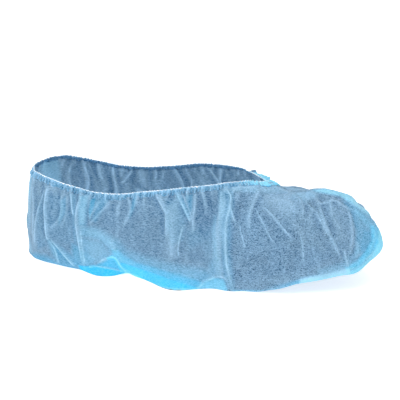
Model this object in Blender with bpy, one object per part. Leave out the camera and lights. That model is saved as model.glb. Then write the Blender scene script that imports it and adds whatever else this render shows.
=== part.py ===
"""A disposable shoe cover of non-woven fabric, standing on the floor in the form it has when worn.

It is one gathered bag: a flat sole, side walls, a heel, a toe cap and an open top, whose hem an
elastic draws in. +X is the toe, -Y the near side and +Z up. The origin is the middle of the
bounding box's bottom face. Sizes are in metres, and run from the heel unless they say otherwise.
"""

import math
from collections import namedtuple

import bpy
import numpy as np

# Driving sizes of the worn cover
LENGTH = 0.318
HALF_WIDTH = 0.056
RIM_LENGTH = 0.214
RIM_HALF_WIDTH = 0.037
RIM_HEIGHT = 0.089
HEEL_OVERHANG = 0.004
GIRTH_HEIGHT = 0.036
TOE_SPRING = 0.025
SOLE_TUCK = 0.005
PUFF = 0.0025

# Fabric, hem and elastic
WALL = 0.0012
HEM_WIDTH = 0.005
GATHER_DEPTH = 0.0011
GATHER_REACH = 0.022
ELASTIC_DIAMETER = 0.0014
CLEARANCE = 0.0003

# Mesh counts: columns run round the cover, rows down its wall, strips across its sole
COLUMNS = 112
FINE_ROWS = 90
SOLE_STRIPS = 6
ELASTIC_RESOLUTION = 2

# Where the toe cap starts, as a share of the way round, where the wall's curve starts at the rim,
# and how it meets the floor: an exponent under 1 is boxy, 2 is straight. A skirt is a floor edge
# outside the girth, fully so from the given reach.
TOE_START = 0.60
RIM_TURN = 0.35
TUCK_FORM = 0.85
SKIRT_FORM = 1.7
SKIRT_FULL = 0.012

# The girth is the widest line of the wall. Shares: along of LENGTH, near and far of HALF_WIDTH,
# height of GIRTH_HEIGHT, lift of TOE_SPRING. The form is the exponent of the wall's curve from the
# rim to the girth, and the lift is the floor edge's height.
Section = namedtuple("Section", "along near far height lift form")
SECTIONS = (
    Section(0.000, 0.00, 0.00, 0.56, 0.00, 1.30),
    Section(0.025, 0.40, 0.40, 0.56, 0.00, 1.30),
    Section(0.057, 0.58, 0.58, 0.58, 0.00, 1.30),
    Section(0.104, 0.69, 0.69, 0.62, 0.00, 1.40),
    Section(0.182, 0.76, 0.75, 0.68, 0.00, 1.60),
    Section(0.261, 0.79, 0.78, 0.75, 0.00, 1.70),
    Section(0.355, 0.81, 0.79, 0.80, 0.00, 1.70),
    Section(0.465, 0.84, 0.81, 0.80, 0.00, 1.70),
    Section(0.560, 0.90, 0.86, 0.70, 0.00, 1.60),
    Section(0.660, 0.97, 0.92, 0.65, 0.00, 1.35),
    Section(0.733, 0.98, 0.94, 0.70, 0.13, 1.15),
    Section(0.811, 0.91, 0.89, 0.80, 0.36, 1.00),
    Section(0.890, 0.73, 0.73, 0.95, 0.58, 0.90),
    Section(0.953, 0.47, 0.46, 0.98, 0.82, 0.87),
    Section(0.987, 0.24, 0.23, 0.98, 1.00, 0.87),
    Section(1.000, 0.00, 0.00, 0.98, 1.10, 0.87),
)

# The rim, each row at the share of LENGTH where its part of the wall meets the girth. Shares:
# along of RIM_LENGTH, half of RIM_HALF_WIDTH, near and far of RIM_HEIGHT.
Rim = namedtuple("Rim", "at along half near far")
RIM = (
    Rim(0.000, 0.000, 0.00, 0.88, 0.88),
    Rim(0.025, 0.022, 0.42, 0.89, 0.88),
    Rim(0.057, 0.065, 0.71, 0.89, 0.88),
    Rim(0.104, 0.128, 0.88, 0.87, 0.86),
    Rim(0.182, 0.244, 0.96, 0.82, 0.82),
    Rim(0.245, 0.343, 0.97, 0.79, 0.80),
    Rim(0.371, 0.532, 0.98, 0.85, 0.84),
    Rim(0.497, 0.715, 1.00, 0.94, 0.90),
    Rim(0.575, 0.812, 0.95, 0.98, 0.90),
    Rim(0.654, 0.874, 0.82, 1.00, 0.885),
    Rim(0.733, 0.921, 0.66, 1.00, 0.87),
    Rim(0.811, 0.958, 0.48, 0.98, 0.860),
    Rim(0.890, 0.984, 0.30, 0.96, 0.855),
    Rim(0.953, 0.996, 0.14, 0.945, 0.88),
    Rim(1.000, 1.000, 0.00, 0.94, 0.94),
)

# The toe cap's profile from the rim's front over the toe to the girth: it sags behind the gathers,
# rises over the toe and drops. Shares: out of the way from rim to girth, up of the height between.
Crest = namedtuple("Crest", "down out up")
TOE_CREST = (
    Crest(0.00, 0.00, 1.00),
    Crest(0.10, 0.09, 0.88),
    Crest(0.24, 0.26, 0.83),
    Crest(0.42, 0.48, 0.88),
    Crest(0.58, 0.67, 0.88),
    Crest(0.70, 0.80, 0.72),
    Crest(0.82, 0.90, 0.44),
    Crest(0.92, 0.97, 0.20),
    Crest(1.00, 1.00, 0.00),
)

NEAR = -1
BOTH = 0
FAR = 1

# Where the fabric spreads on the floor past the girth, or is drawn in. Shares: along and width of
# LENGTH, reach of HALF_WIDTH.
Lobe = namedtuple("Lobe", "name side along width reach")
LOBES = (
    Lobe("heel_corner", BOTH, 0.010, 0.090, 0.13),
    Lobe("rear_lens", NEAR, 0.250, 0.058, 0.24),
    Lobe("rear_pinch", NEAR, 0.321, 0.019, -0.13),
    Lobe("arch_skirt", NEAR, 0.474, 0.088, 0.43),
    Lobe("ball_pleat", NEAR, 0.620, 0.040, 0.10),
    Lobe("far_arch", FAR, 0.440, 0.110, 0.16),
)

# Folds that stand out from the wall. Shares: top, bottom and width of LENGTH, high and low of
# RIM_HEIGHT, rise of HALF_WIDTH. Top is the fold's place at its high end, bottom at its low end.
Fold = namedtuple("Fold", "name side top bottom high low width rise")
FOLDS = (
    Fold("heel_side", NEAR, 0.075, 0.105, 0.84, 0.25, 0.014, 0.070),
    Fold("heel_ridge", NEAR, 0.152, 0.180, 0.82, 0.02, 0.014, 0.070),
    Fold("rear_swell", NEAR, 0.205, 0.205, 0.78, 0.40, 0.022, 0.055),
    Fold("rear_arch", NEAR, 0.325, 0.318, 0.80, 0.45, 0.015, 0.055),
    Fold("arch_sweep", NEAR, 0.408, 0.435, 0.86, 0.35, 0.016, 0.060),
    Fold("arch_front", NEAR, 0.468, 0.512, 0.90, 0.35, 0.016, 0.060),
    Fold("main_ridge", NEAR, 0.578, 0.616, 0.96, 0.02, 0.018, 0.090),
    Fold("ball_ridge", NEAR, 0.618, 0.640, 0.96, 0.45, 0.012, 0.050),
    Fold("toe_fan", NEAR, 0.690, 0.790, 0.92, 0.40, 0.012, 0.045),
    Fold("toe_diagonal", NEAR, 0.802, 0.912, 0.88, 0.22, 0.018, 0.060),
    Fold("toe_upright", NEAR, 0.930, 0.925, 0.70, 0.15, 0.012, 0.040),
    Fold("far_heel", FAR, 0.110, 0.130, 0.84, 0.20, 0.016, 0.065),
    Fold("far_rear", FAR, 0.240, 0.225, 0.78, 0.30, 0.018, 0.065),
    Fold("far_middle", FAR, 0.390, 0.410, 0.84, 0.25, 0.018, 0.070),
    Fold("far_ball", FAR, 0.560, 0.600, 0.92, 0.20, 0.018, 0.075),
    Fold("far_toe", FAR, 0.790, 0.880, 0.86, 0.25, 0.018, 0.060),
)

# Rows of the wall between the hem and the floor edge, as shares of that stretch
WALL_ROWS = (0.0, 0.05, 0.12, 0.21, 0.31, 0.42, 0.53, 0.64, 0.745, 0.84, 0.925, 1.0)
HEM_ROWS = (0.0, 0.5, 1.0)

# The colours are read as linear values: red, green, blue
FABRIC_BLUE = (0.27, 0.50, 0.72)
HEM_BLUE = (0.33, 0.57, 0.78)
ELASTIC_WHITE = (0.86, 0.90, 0.92)


def clear_scene():
    for obj in list(bpy.data.objects):
        bpy.data.objects.remove(obj, do_unlink=True)


def material(name, colour, roughness):
    made = bpy.data.materials.new(name)
    made.use_nodes = True
    shader = made.node_tree.nodes["Principled BSDF"]
    shader.inputs["Base Color"].default_value = (*colour, 1.0)
    shader.inputs["Roughness"].default_value = roughness
    shader.inputs["Metallic"].default_value = 0.0
    made.diffuse_color = (*colour, 1.0)
    return made


def end_spaced(along):
    """Turns a share of the length into a share of the way round, so that both ends come out round."""
    return np.arccos(1.0 - 2.0 * np.clip(along, 0.0, 1.0)) / math.pi


def curve_through(knots, values, at):
    """Reads a smooth curve through the knots that never swings past its values."""
    knots = np.asarray(knots, float)
    values = np.asarray(values, float)
    steps = np.diff(knots)
    slopes = np.diff(values) / steps
    tangents = np.empty_like(values)
    tangents[0] = slopes[0]
    tangents[-1] = slopes[-1]
    product = slopes[:-1] * slopes[1:]
    total = slopes[:-1] + slopes[1:]
    tangents[1:-1] = np.where(product > 0.0, 2.0 * product / np.where(total == 0.0, 1.0, total), 0.0)
    place = np.clip(np.searchsorted(knots, at, side="right") - 1, 0, len(steps) - 1)
    share = (at - knots[place]) / steps[place]
    start = values[place] + share * steps[place] * tangents[place]
    back = values[place + 1] - (1.0 - share) * steps[place] * tangents[place + 1]
    ease = share * share * (3.0 - 2.0 * share)
    return start + (back - start) * ease


def table_curve(rows, key, column, t):
    """Reads one column of a table at the places t round the cover."""
    knots = end_spaced(np.array([getattr(row, key) for row in rows]))
    return curve_through(knots, [getattr(row, column) for row in rows], t)


def ring_places():
    """Each column's share of the way from heel to toe, and its side: 0 on the two end columns."""
    turn = np.arange(COLUMNS) / COLUMNS
    t = np.where(turn <= 0.5, 2.0 * turn, 2.0 - 2.0 * turn)
    side = np.where(turn < 0.5, NEAR, FAR)
    side[0] = 0
    side[COLUMNS // 2] = 0
    return t, side


def bump(distance, width):
    """A smooth hill of height 1."""
    return np.exp(-((distance / width) ** 2))


def girth_line(t, side):
    """The widest line of the wall, seen from above, with its height."""
    x = LENGTH * (1.0 - np.cos(math.pi * t)) / 2.0
    near = table_curve(SECTIONS, "along", "near", t)
    far = table_curve(SECTIONS, "along", "far", t)
    half = HALF_WIDTH * np.where(side == NEAR, near, far)
    y = side * half
    z = GIRTH_HEIGHT * table_curve(SECTIONS, "along", "height", t)
    return np.stack([x, y, z], axis=1)


def rim_line(t, side):
    """The open top's edge."""
    x = HEEL_OVERHANG + RIM_LENGTH * table_curve(RIM, "at", "along", t)
    y = side * RIM_HALF_WIDTH * table_curve(RIM, "at", "half", t)
    near = table_curve(RIM, "at", "near", t)
    far = table_curve(RIM, "at", "far", t)
    z = RIM_HEIGHT * np.where(side == NEAR, near, far)
    return np.stack([x, y, z], axis=1)


def outward(points):
    """The direction away from the loop, level with the floor, at each of its points."""
    along = np.roll(points, -1, axis=0) - np.roll(points, 1, axis=0)
    out = np.stack([along[:, 1], -along[:, 0], np.zeros(len(points))], axis=1)
    return out / np.linalg.norm(out, axis=1, keepdims=True)


def floor_line(girth, t, side):
    """The edge where the wall turns under and becomes the sole, and how far it lies past the girth."""
    along = girth[:, 0] / LENGTH
    reach = np.full(len(girth), -SOLE_TUCK)
    for lobe in LOBES:
        shape = bump(along - lobe.along, lobe.width)
        reach += np.where(side * lobe.side >= 0, HALF_WIDTH * lobe.reach * shape, 0.0)
    floor = girth + outward(girth) * reach[:, None]
    half = COLUMNS // 2
    for column in range(1, half):
        shared = (floor[column, 0] + floor[COLUMNS - column, 0]) / 2.0
        floor[column, 0] = shared
        floor[COLUMNS - column, 0] = shared
    floor[:, 2] = TOE_SPRING * table_curve(SECTIONS, "along", "lift", t)
    return floor, reach


def toe_share(t):
    """How far each column belongs to the toe cap: 0 on the sides, 1 at the tip."""
    share = np.clip((t - TOE_START) / (1.0 - TOE_START), 0.0, 1.0)
    return (share * share * (3.0 - 2.0 * share))[:, None]


def upper_shares(t):
    """Each column's way from the rim to the girth: outward shares and height shares, row by row."""
    form = table_curve(SECTIONS, "along", "form", t)[:, None]
    turn = np.linspace(RIM_TURN, math.pi / 2.0, FINE_ROWS)[None, :]
    first_out = math.sin(RIM_TURN) ** form
    side_out = (np.sin(turn) ** form - first_out) / (1.0 - first_out)
    side_up = np.clip(np.cos(turn), 0.0, 1.0) ** form / math.cos(RIM_TURN) ** form
    down = [row.down for row in TOE_CREST]
    rows = np.linspace(0.0, 1.0, FINE_ROWS)
    toe_out = curve_through(down, [row.out for row in TOE_CREST], rows)[None, :]
    toe_up = curve_through(down, [row.up for row in TOE_CREST], rows)[None, :]
    toe = toe_share(t)
    return side_out + (toe_out - side_out) * toe, side_up + (toe_up - side_up) * toe


def wall_curves(t, side):
    """Each column's curve from the rim over the girth to the floor edge: columns, rows, xyz."""
    rim = rim_line(t, side)
    girth = girth_line(t, side)
    floor, reach = floor_line(girth, t, side)
    out, up = upper_shares(t)
    upper = np.empty((COLUMNS, FINE_ROWS, 3))
    for axis, share in ((0, out), (1, out), (2, 1.0 - up)):
        upper[:, :, axis] = rim[:, None, axis] + (girth - rim)[:, None, axis] * share
    wall_puff = np.sin(np.pi * np.linspace(0.0, 1.0, FINE_ROWS))[None, :] * (1.0 - toe_share(t))
    upper += PUFF * outward(girth)[:, None, :] * wall_puff[:, :, None]
    skirt = np.clip((reach + SOLE_TUCK) / SKIRT_FULL, 0.0, 1.0)
    foot_form = (TUCK_FORM + (SKIRT_FORM - TUCK_FORM) * skirt)[:, None]
    lower_turn = np.linspace(0.0, math.pi / 2.0, FINE_ROWS)[None, 1:]
    aside = 1.0 - np.clip(np.cos(lower_turn), 0.0, 1.0) ** foot_form
    down = np.sin(lower_turn) ** foot_form
    lower = np.empty((COLUMNS, FINE_ROWS - 1, 3))
    for axis, share in ((0, aside), (1, aside), (2, down)):
        lower[:, :, axis] = girth[:, None, axis] + (floor - girth)[:, None, axis] * share
    return np.concatenate([upper, lower], axis=1)


def grid_normals(grid):
    """Outward normals of a grid of columns that closes on itself."""
    round_way = np.roll(grid, -1, axis=0) - np.roll(grid, 1, axis=0)
    down_way = np.gradient(grid, axis=1)
    normal = np.cross(down_way, round_way)
    size = np.linalg.norm(normal, axis=2, keepdims=True)
    return normal / np.maximum(size, 1e-12)


def arc_lengths(grid):
    """Each point's distance from the rim, along its column."""
    steps = np.linalg.norm(np.diff(grid, axis=1), axis=2)
    return np.concatenate([np.zeros((len(grid), 1)), np.cumsum(steps, axis=1)], axis=1)


def fold_rise(grid, side):
    """How far the folds lift each point off the smooth wall."""
    along = grid[:, :, 0] / LENGTH
    height = grid[:, :, 2] / RIM_HEIGHT
    rise = np.zeros(along.shape)
    for fold in FOLDS:
        down = np.clip((fold.high - height) / (fold.high - fold.low), 0.0, 1.0)
        centre = fold.top + (fold.bottom - fold.top) * down
        fade_in = np.clip((fold.high + 0.06 - height) / 0.12, 0.0, 1.0)
        fade_out = np.clip((height - fold.low + 0.06) / 0.12, 0.0, 1.0)
        shape = bump(along - centre, fold.width) * fade_in * fade_out
        rise += np.where(side[:, None] == fold.side, HALF_WIDTH * fold.rise * shape, 0.0)
    return rise


def gather_rise(arc):
    """The ripple that the elastic draws into the fabric: none on the rim, fading down the wall."""
    wave = np.where(np.arange(COLUMNS) % 2 == 0, 1.0, -1.0)[:, None]
    build_up = np.clip(arc / HEM_WIDTH, 0.0, 1.0)
    return GATHER_DEPTH * wave * build_up * np.exp(-arc / GATHER_REACH)


def shaped_wall():
    """The whole wall in fine rows, with its folds and gathers, and each point's distance from the rim."""
    t, side = ring_places()
    grid = wall_curves(t, side)
    arc = arc_lengths(grid)
    above_floor = np.clip((grid[:, :, 2] - grid[:, -1:, 2]) / (2.0 * SOLE_TUCK), 0.0, 1.0)
    rise = (fold_rise(grid, side) + gather_rise(arc)) * above_floor
    return grid + grid_normals(grid) * rise[:, :, None], arc


def rows_at(grid, arc, distances):
    """Points of each column at the given distances from the rim: columns, rows, xyz."""
    rows = np.empty((COLUMNS, distances.shape[1], 3))
    for column in range(COLUMNS):
        for axis in range(3):
            rows[column, :, axis] = np.interp(distances[column], arc[column], grid[column, :, axis])
    return rows


def body_rows(grid, arc):
    """The body's rows, from a clearance under the hem down to the floor edge."""
    start = HEM_WIDTH + CLEARANCE
    stretch = arc[:, -1:] - start
    return rows_at(grid, arc, start + stretch * np.array(WALL_ROWS)[None, :])


def hem_rows(grid, arc):
    """The hem's rows, from the rim down."""
    shares = np.array(HEM_ROWS)[None, :]
    return rows_at(grid, arc, np.repeat(HEM_WIDTH * shares, COLUMNS, axis=0))


def band_faces(rows):
    """Quads of a band of columns that closes on itself, facing out."""
    faces = []
    for column in range(COLUMNS):
        after = (column + 1) % COLUMNS
        for row in range(rows - 1):
            corners = (column * rows + row, column * rows + row + 1)
            beside = (after * rows + row + 1, after * rows + row)
            faces.append(corners + beside)
    return faces


def sole_lines(edge, edge_index, start):
    """The sole's new points, and its lines of point numbers from the near edge to the far edge.

    Each line joins two columns that share their length. The new points are numbered from start.
    """
    points = []
    lines = []
    for column in range(1, COLUMNS // 2):
        near = edge[column]
        far = edge[COLUMNS - column]
        line = [edge_index[column]]
        for strip in range(1, SOLE_STRIPS):
            line.append(start + len(points))
            points.append(near + (far - near) * strip / SOLE_STRIPS)
        line.append(edge_index[COLUMNS - column])
        lines.append(line)
    return points, lines


def sole_faces(lines, heel, toe):
    """Faces between the sole's lines, facing down, with fans to the heel's and the toe's end points."""
    faces = [(heel, beside, corner) for corner, beside in zip(lines[0], lines[0][1:])]
    for line, after in zip(lines, lines[1:]):
        for strip in range(SOLE_STRIPS):
            faces.append((line[strip], line[strip + 1], after[strip + 1], after[strip]))
    faces += [(corner, beside, toe) for corner, beside in zip(lines[-1], lines[-1][1:])]
    return faces


def thick_object(name, points, faces, shade):
    """A sheet of the fabric's thickness: the given faces are its outer side."""
    mesh = bpy.data.meshes.new(name)
    mesh.from_pydata([tuple(point) for point in points], [], faces)
    mesh.shade_smooth()
    mesh.materials.append(shade)
    obj = bpy.data.objects.new(name, mesh)
    bpy.context.scene.collection.objects.link(obj)
    skin = obj.modifiers.new("fabric_thickness", "SOLIDIFY")
    skin.thickness = WALL
    skin.offset = -1.0
    skin.use_even_offset = True
    skin.use_rim = True
    return obj


def make_body(grid, arc, shade):
    """The bag: walls, heel and toe cap down to the floor edge, and the sole that closes it."""
    rows = body_rows(grid, arc)
    count = rows.shape[1]
    points = list(rows.reshape(-1, 3))
    edge_index = [column * count + count - 1 for column in range(COLUMNS)]
    sole_points, lines = sole_lines(rows[:, -1], edge_index, len(points))
    faces = band_faces(count) + sole_faces(lines, edge_index[0], edge_index[COLUMNS // 2])
    return thick_object("cover_body", points + sole_points, faces, shade)


def make_hem(grid, arc, shade):
    """The hem between the rim and the body, a clearance above the body's top edge."""
    rows = hem_rows(grid, arc)
    return thick_object("gathered_hem", list(rows.reshape(-1, 3)), band_faces(rows.shape[1]), shade)


def make_elastic(grid, shade):
    """A closed ring of elastic along the hem's top edge."""
    rim = grid[:, 0]
    inward = -grid_normals(grid)[:, 0]
    off_edge = rim - grid[:, 1]
    off_edge /= np.linalg.norm(off_edge, axis=1, keepdims=True)
    centre = rim + inward * WALL / 2.0 + off_edge * (CLEARANCE + ELASTIC_DIAMETER / 2.0)
    curve = bpy.data.curves.new("elastic_band", "CURVE")
    curve.dimensions = "3D"
    curve.bevel_depth = ELASTIC_DIAMETER / 2.0
    curve.bevel_resolution = ELASTIC_RESOLUTION
    spline = curve.splines.new("POLY")
    spline.points.add(len(centre) - 1)
    for point, place in zip(spline.points, centre):
        point.co = (*place, 1.0)
    spline.use_cyclic_u = True
    curve.materials.append(shade)
    obj = bpy.data.objects.new("elastic_band", curve)
    bpy.context.scene.collection.objects.link(obj)
    return obj


def centred(grid, arc):
    """Moves the wall so that the bottom middle of the body's bounding box is the origin."""
    corners = body_rows(grid, arc).reshape(-1, 3)
    low = corners.min(axis=0)
    high = corners.max(axis=0)
    return grid - np.array([(low[0] + high[0]) / 2.0, (low[1] + high[1]) / 2.0, low[2]])


def main():
    """Builds the three pieces from the one wall surface that they share."""
    clear_scene()
    grid, arc = shaped_wall()
    grid = centred(grid, arc)
    make_body(grid, arc, material("spunbond_blue", FABRIC_BLUE, 0.8))
    make_hem(grid, arc, material("spunbond_hem", HEM_BLUE, 0.8))
    make_elastic(grid, material("elastic_white", ELASTIC_WHITE, 0.6))


main()
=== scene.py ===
"""The looks of a worn shoe cover: a gathered bag of light blue non-woven fabric with an elastic hem.

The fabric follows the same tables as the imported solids, with its folds, pleats and puckers added
on a fine sheet. Sizes are in metres. The toe points along +X and the photographed side faces -Y.
"""

import math
from collections import namedtuple

import bpy
import numpy as np
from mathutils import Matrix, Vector, noise


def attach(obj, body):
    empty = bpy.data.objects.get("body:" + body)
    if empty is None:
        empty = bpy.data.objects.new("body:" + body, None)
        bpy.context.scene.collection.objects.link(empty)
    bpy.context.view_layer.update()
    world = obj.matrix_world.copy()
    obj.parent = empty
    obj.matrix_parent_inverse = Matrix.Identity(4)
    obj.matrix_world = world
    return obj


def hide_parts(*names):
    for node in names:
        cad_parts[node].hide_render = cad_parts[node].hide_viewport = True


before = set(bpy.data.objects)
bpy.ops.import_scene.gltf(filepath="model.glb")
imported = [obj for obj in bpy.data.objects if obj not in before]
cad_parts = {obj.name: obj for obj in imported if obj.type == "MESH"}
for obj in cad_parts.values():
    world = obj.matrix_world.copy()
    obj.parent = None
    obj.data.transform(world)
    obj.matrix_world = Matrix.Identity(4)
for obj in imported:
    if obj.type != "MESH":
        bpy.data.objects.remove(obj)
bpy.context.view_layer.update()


def table(kind, *rows):
    """Rows with named fields."""
    return tuple(kind(*row) for row in rows)


LENGTH = 0.318
HALF_WIDTH = 0.056
RIM_LENGTH = 0.214
RIM_HALF_WIDTH = 0.037
RIM_HEIGHT = 0.089
HEEL_OVERHANG = 0.004
GIRTH_HEIGHT = 0.036
TOE_SPRING = 0.025
SOLE_TUCK = 0.005
PUFF = 0.0025
HEM_WIDTH = 0.005
ELASTIC_DIAMETER = 0.0014
TOE_START = 0.60
RIM_TURN = 0.35
TUCK_FORM = 0.85
SKIRT_FORM = 1.7
SKIRT_FULL = 0.012
SOLE_LIFT = 0.0006

# Where the wall's own start, the heel's back on the floor and the centre line, lies in the frame
HEEL_PLACE = np.array([-0.1579, 0.0066, 0.0])

# The photograph's view: the turn round the object and the look down on it, in degrees
VIEW_TURN = 16.0
VIEW_DOWN = 20.0
VIEW_DISTANCE = 1.58
AIM = (0.0001, -0.0009, 0.0622)
LENS = 164.0
SENSOR = 36.0
PHOTO_SIDE = 400

COLUMNS = 1000
WALL_ROWS = 92
FINE_ROWS = 90
RING_SAMPLES = 4001
SOLE_STRIPS = 8
HEM_COLUMNS = 1800
ELASTIC_COLUMNS = 1400
ELASTIC_SIDES = 8
PATH_STEPS = 12
TINY_AREA = 1e-12
FLOOR_REACH = 6.0
SEED = 11

NEAR = -1
BOTH = 0
FAR = 1

# The girth is the widest line of the wall. Shares: along of LENGTH, near and far of HALF_WIDTH,
# height of GIRTH_HEIGHT, lift of TOE_SPRING. The form is the exponent of the wall's curve.
Section = namedtuple("Section", "along near far height lift form")
SECTIONS = table(
    Section,
    (0.000, 0.00, 0.00, 0.56, 0.00, 1.30),
    (0.025, 0.40, 0.40, 0.56, 0.00, 1.30),
    (0.057, 0.58, 0.58, 0.58, 0.00, 1.30),
    (0.104, 0.69, 0.69, 0.62, 0.00, 1.40),
    (0.182, 0.76, 0.75, 0.68, 0.00, 1.60),
    (0.261, 0.79, 0.78, 0.75, 0.00, 1.70),
    (0.355, 0.81, 0.79, 0.80, 0.00, 1.70),
    (0.465, 0.84, 0.81, 0.80, 0.00, 1.70),
    (0.560, 0.90, 0.86, 0.70, 0.00, 1.60),
    (0.660, 0.97, 0.92, 0.65, 0.00, 1.35),
    (0.733, 0.98, 0.94, 0.70, 0.13, 1.15),
    (0.811, 0.91, 0.89, 0.80, 0.36, 1.00),
    (0.890, 0.73, 0.73, 0.95, 0.58, 0.90),
    (0.953, 0.47, 0.46, 0.98, 0.82, 0.87),
    (0.987, 0.24, 0.23, 0.98, 1.00, 0.87),
    (1.000, 0.00, 0.00, 0.98, 1.10, 0.87),
)

# The rim, each row at the share of LENGTH where its part of the wall meets the girth. Shares:
# along of RIM_LENGTH, half of RIM_HALF_WIDTH, near and far of RIM_HEIGHT.
Rim = namedtuple("Rim", "at along half near far")
RIM = table(
    Rim,
    (0.000, 0.000, 0.00, 0.88, 0.88),
    (0.025, 0.022, 0.42, 0.89, 0.88),
    (0.057, 0.065, 0.71, 0.89, 0.88),
    (0.104, 0.128, 0.88, 0.87, 0.86),
    (0.182, 0.244, 0.96, 0.82, 0.82),
    (0.245, 0.343, 0.97, 0.79, 0.80),
    (0.371, 0.532, 0.98, 0.85, 0.84),
    (0.497, 0.715, 1.00, 0.94, 0.90),
    (0.575, 0.812, 0.95, 0.98, 0.90),
    (0.654, 0.874, 0.82, 1.00, 0.885),
    (0.733, 0.921, 0.66, 1.00, 0.87),
    (0.811, 0.958, 0.48, 0.98, 0.860),
    (0.890, 0.984, 0.30, 0.96, 0.855),
    (0.953, 0.996, 0.14, 0.945, 0.88),
    (1.000, 1.000, 0.00, 0.94, 0.94),
)

# The toe cap's profile from the rim's front over the toe to the girth.
Crest = namedtuple("Crest", "down out up")
TOE_CREST = table(
    Crest,
    (0.00, 0.00, 1.00),
    (0.10, 0.09, 0.88),
    (0.24, 0.26, 0.83),
    (0.42, 0.48, 0.88),
    (0.58, 0.67, 0.88),
    (0.70, 0.80, 0.72),
    (0.82, 0.90, 0.44),
    (0.92, 0.97, 0.20),
    (1.00, 1.00, 0.00),
)

# Where the fabric spreads on the floor past the girth, or is drawn in. Shares: along and width of
# LENGTH, reach of HALF_WIDTH.
Lobe = namedtuple("Lobe", "name side along width reach")
LOBES = table(
    Lobe,
    ("heel_corner", BOTH, 0.010, 0.090, 0.13),
    ("rear_lens", NEAR, 0.250, 0.058, 0.24),
    ("rear_pinch", NEAR, 0.321, 0.019, -0.13),
    ("arch_skirt", NEAR, 0.474, 0.088, 0.43),
    ("ball_pleat", NEAR, 0.620, 0.040, 0.10),
    ("far_arch", FAR, 0.440, 0.110, 0.16),
)

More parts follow.
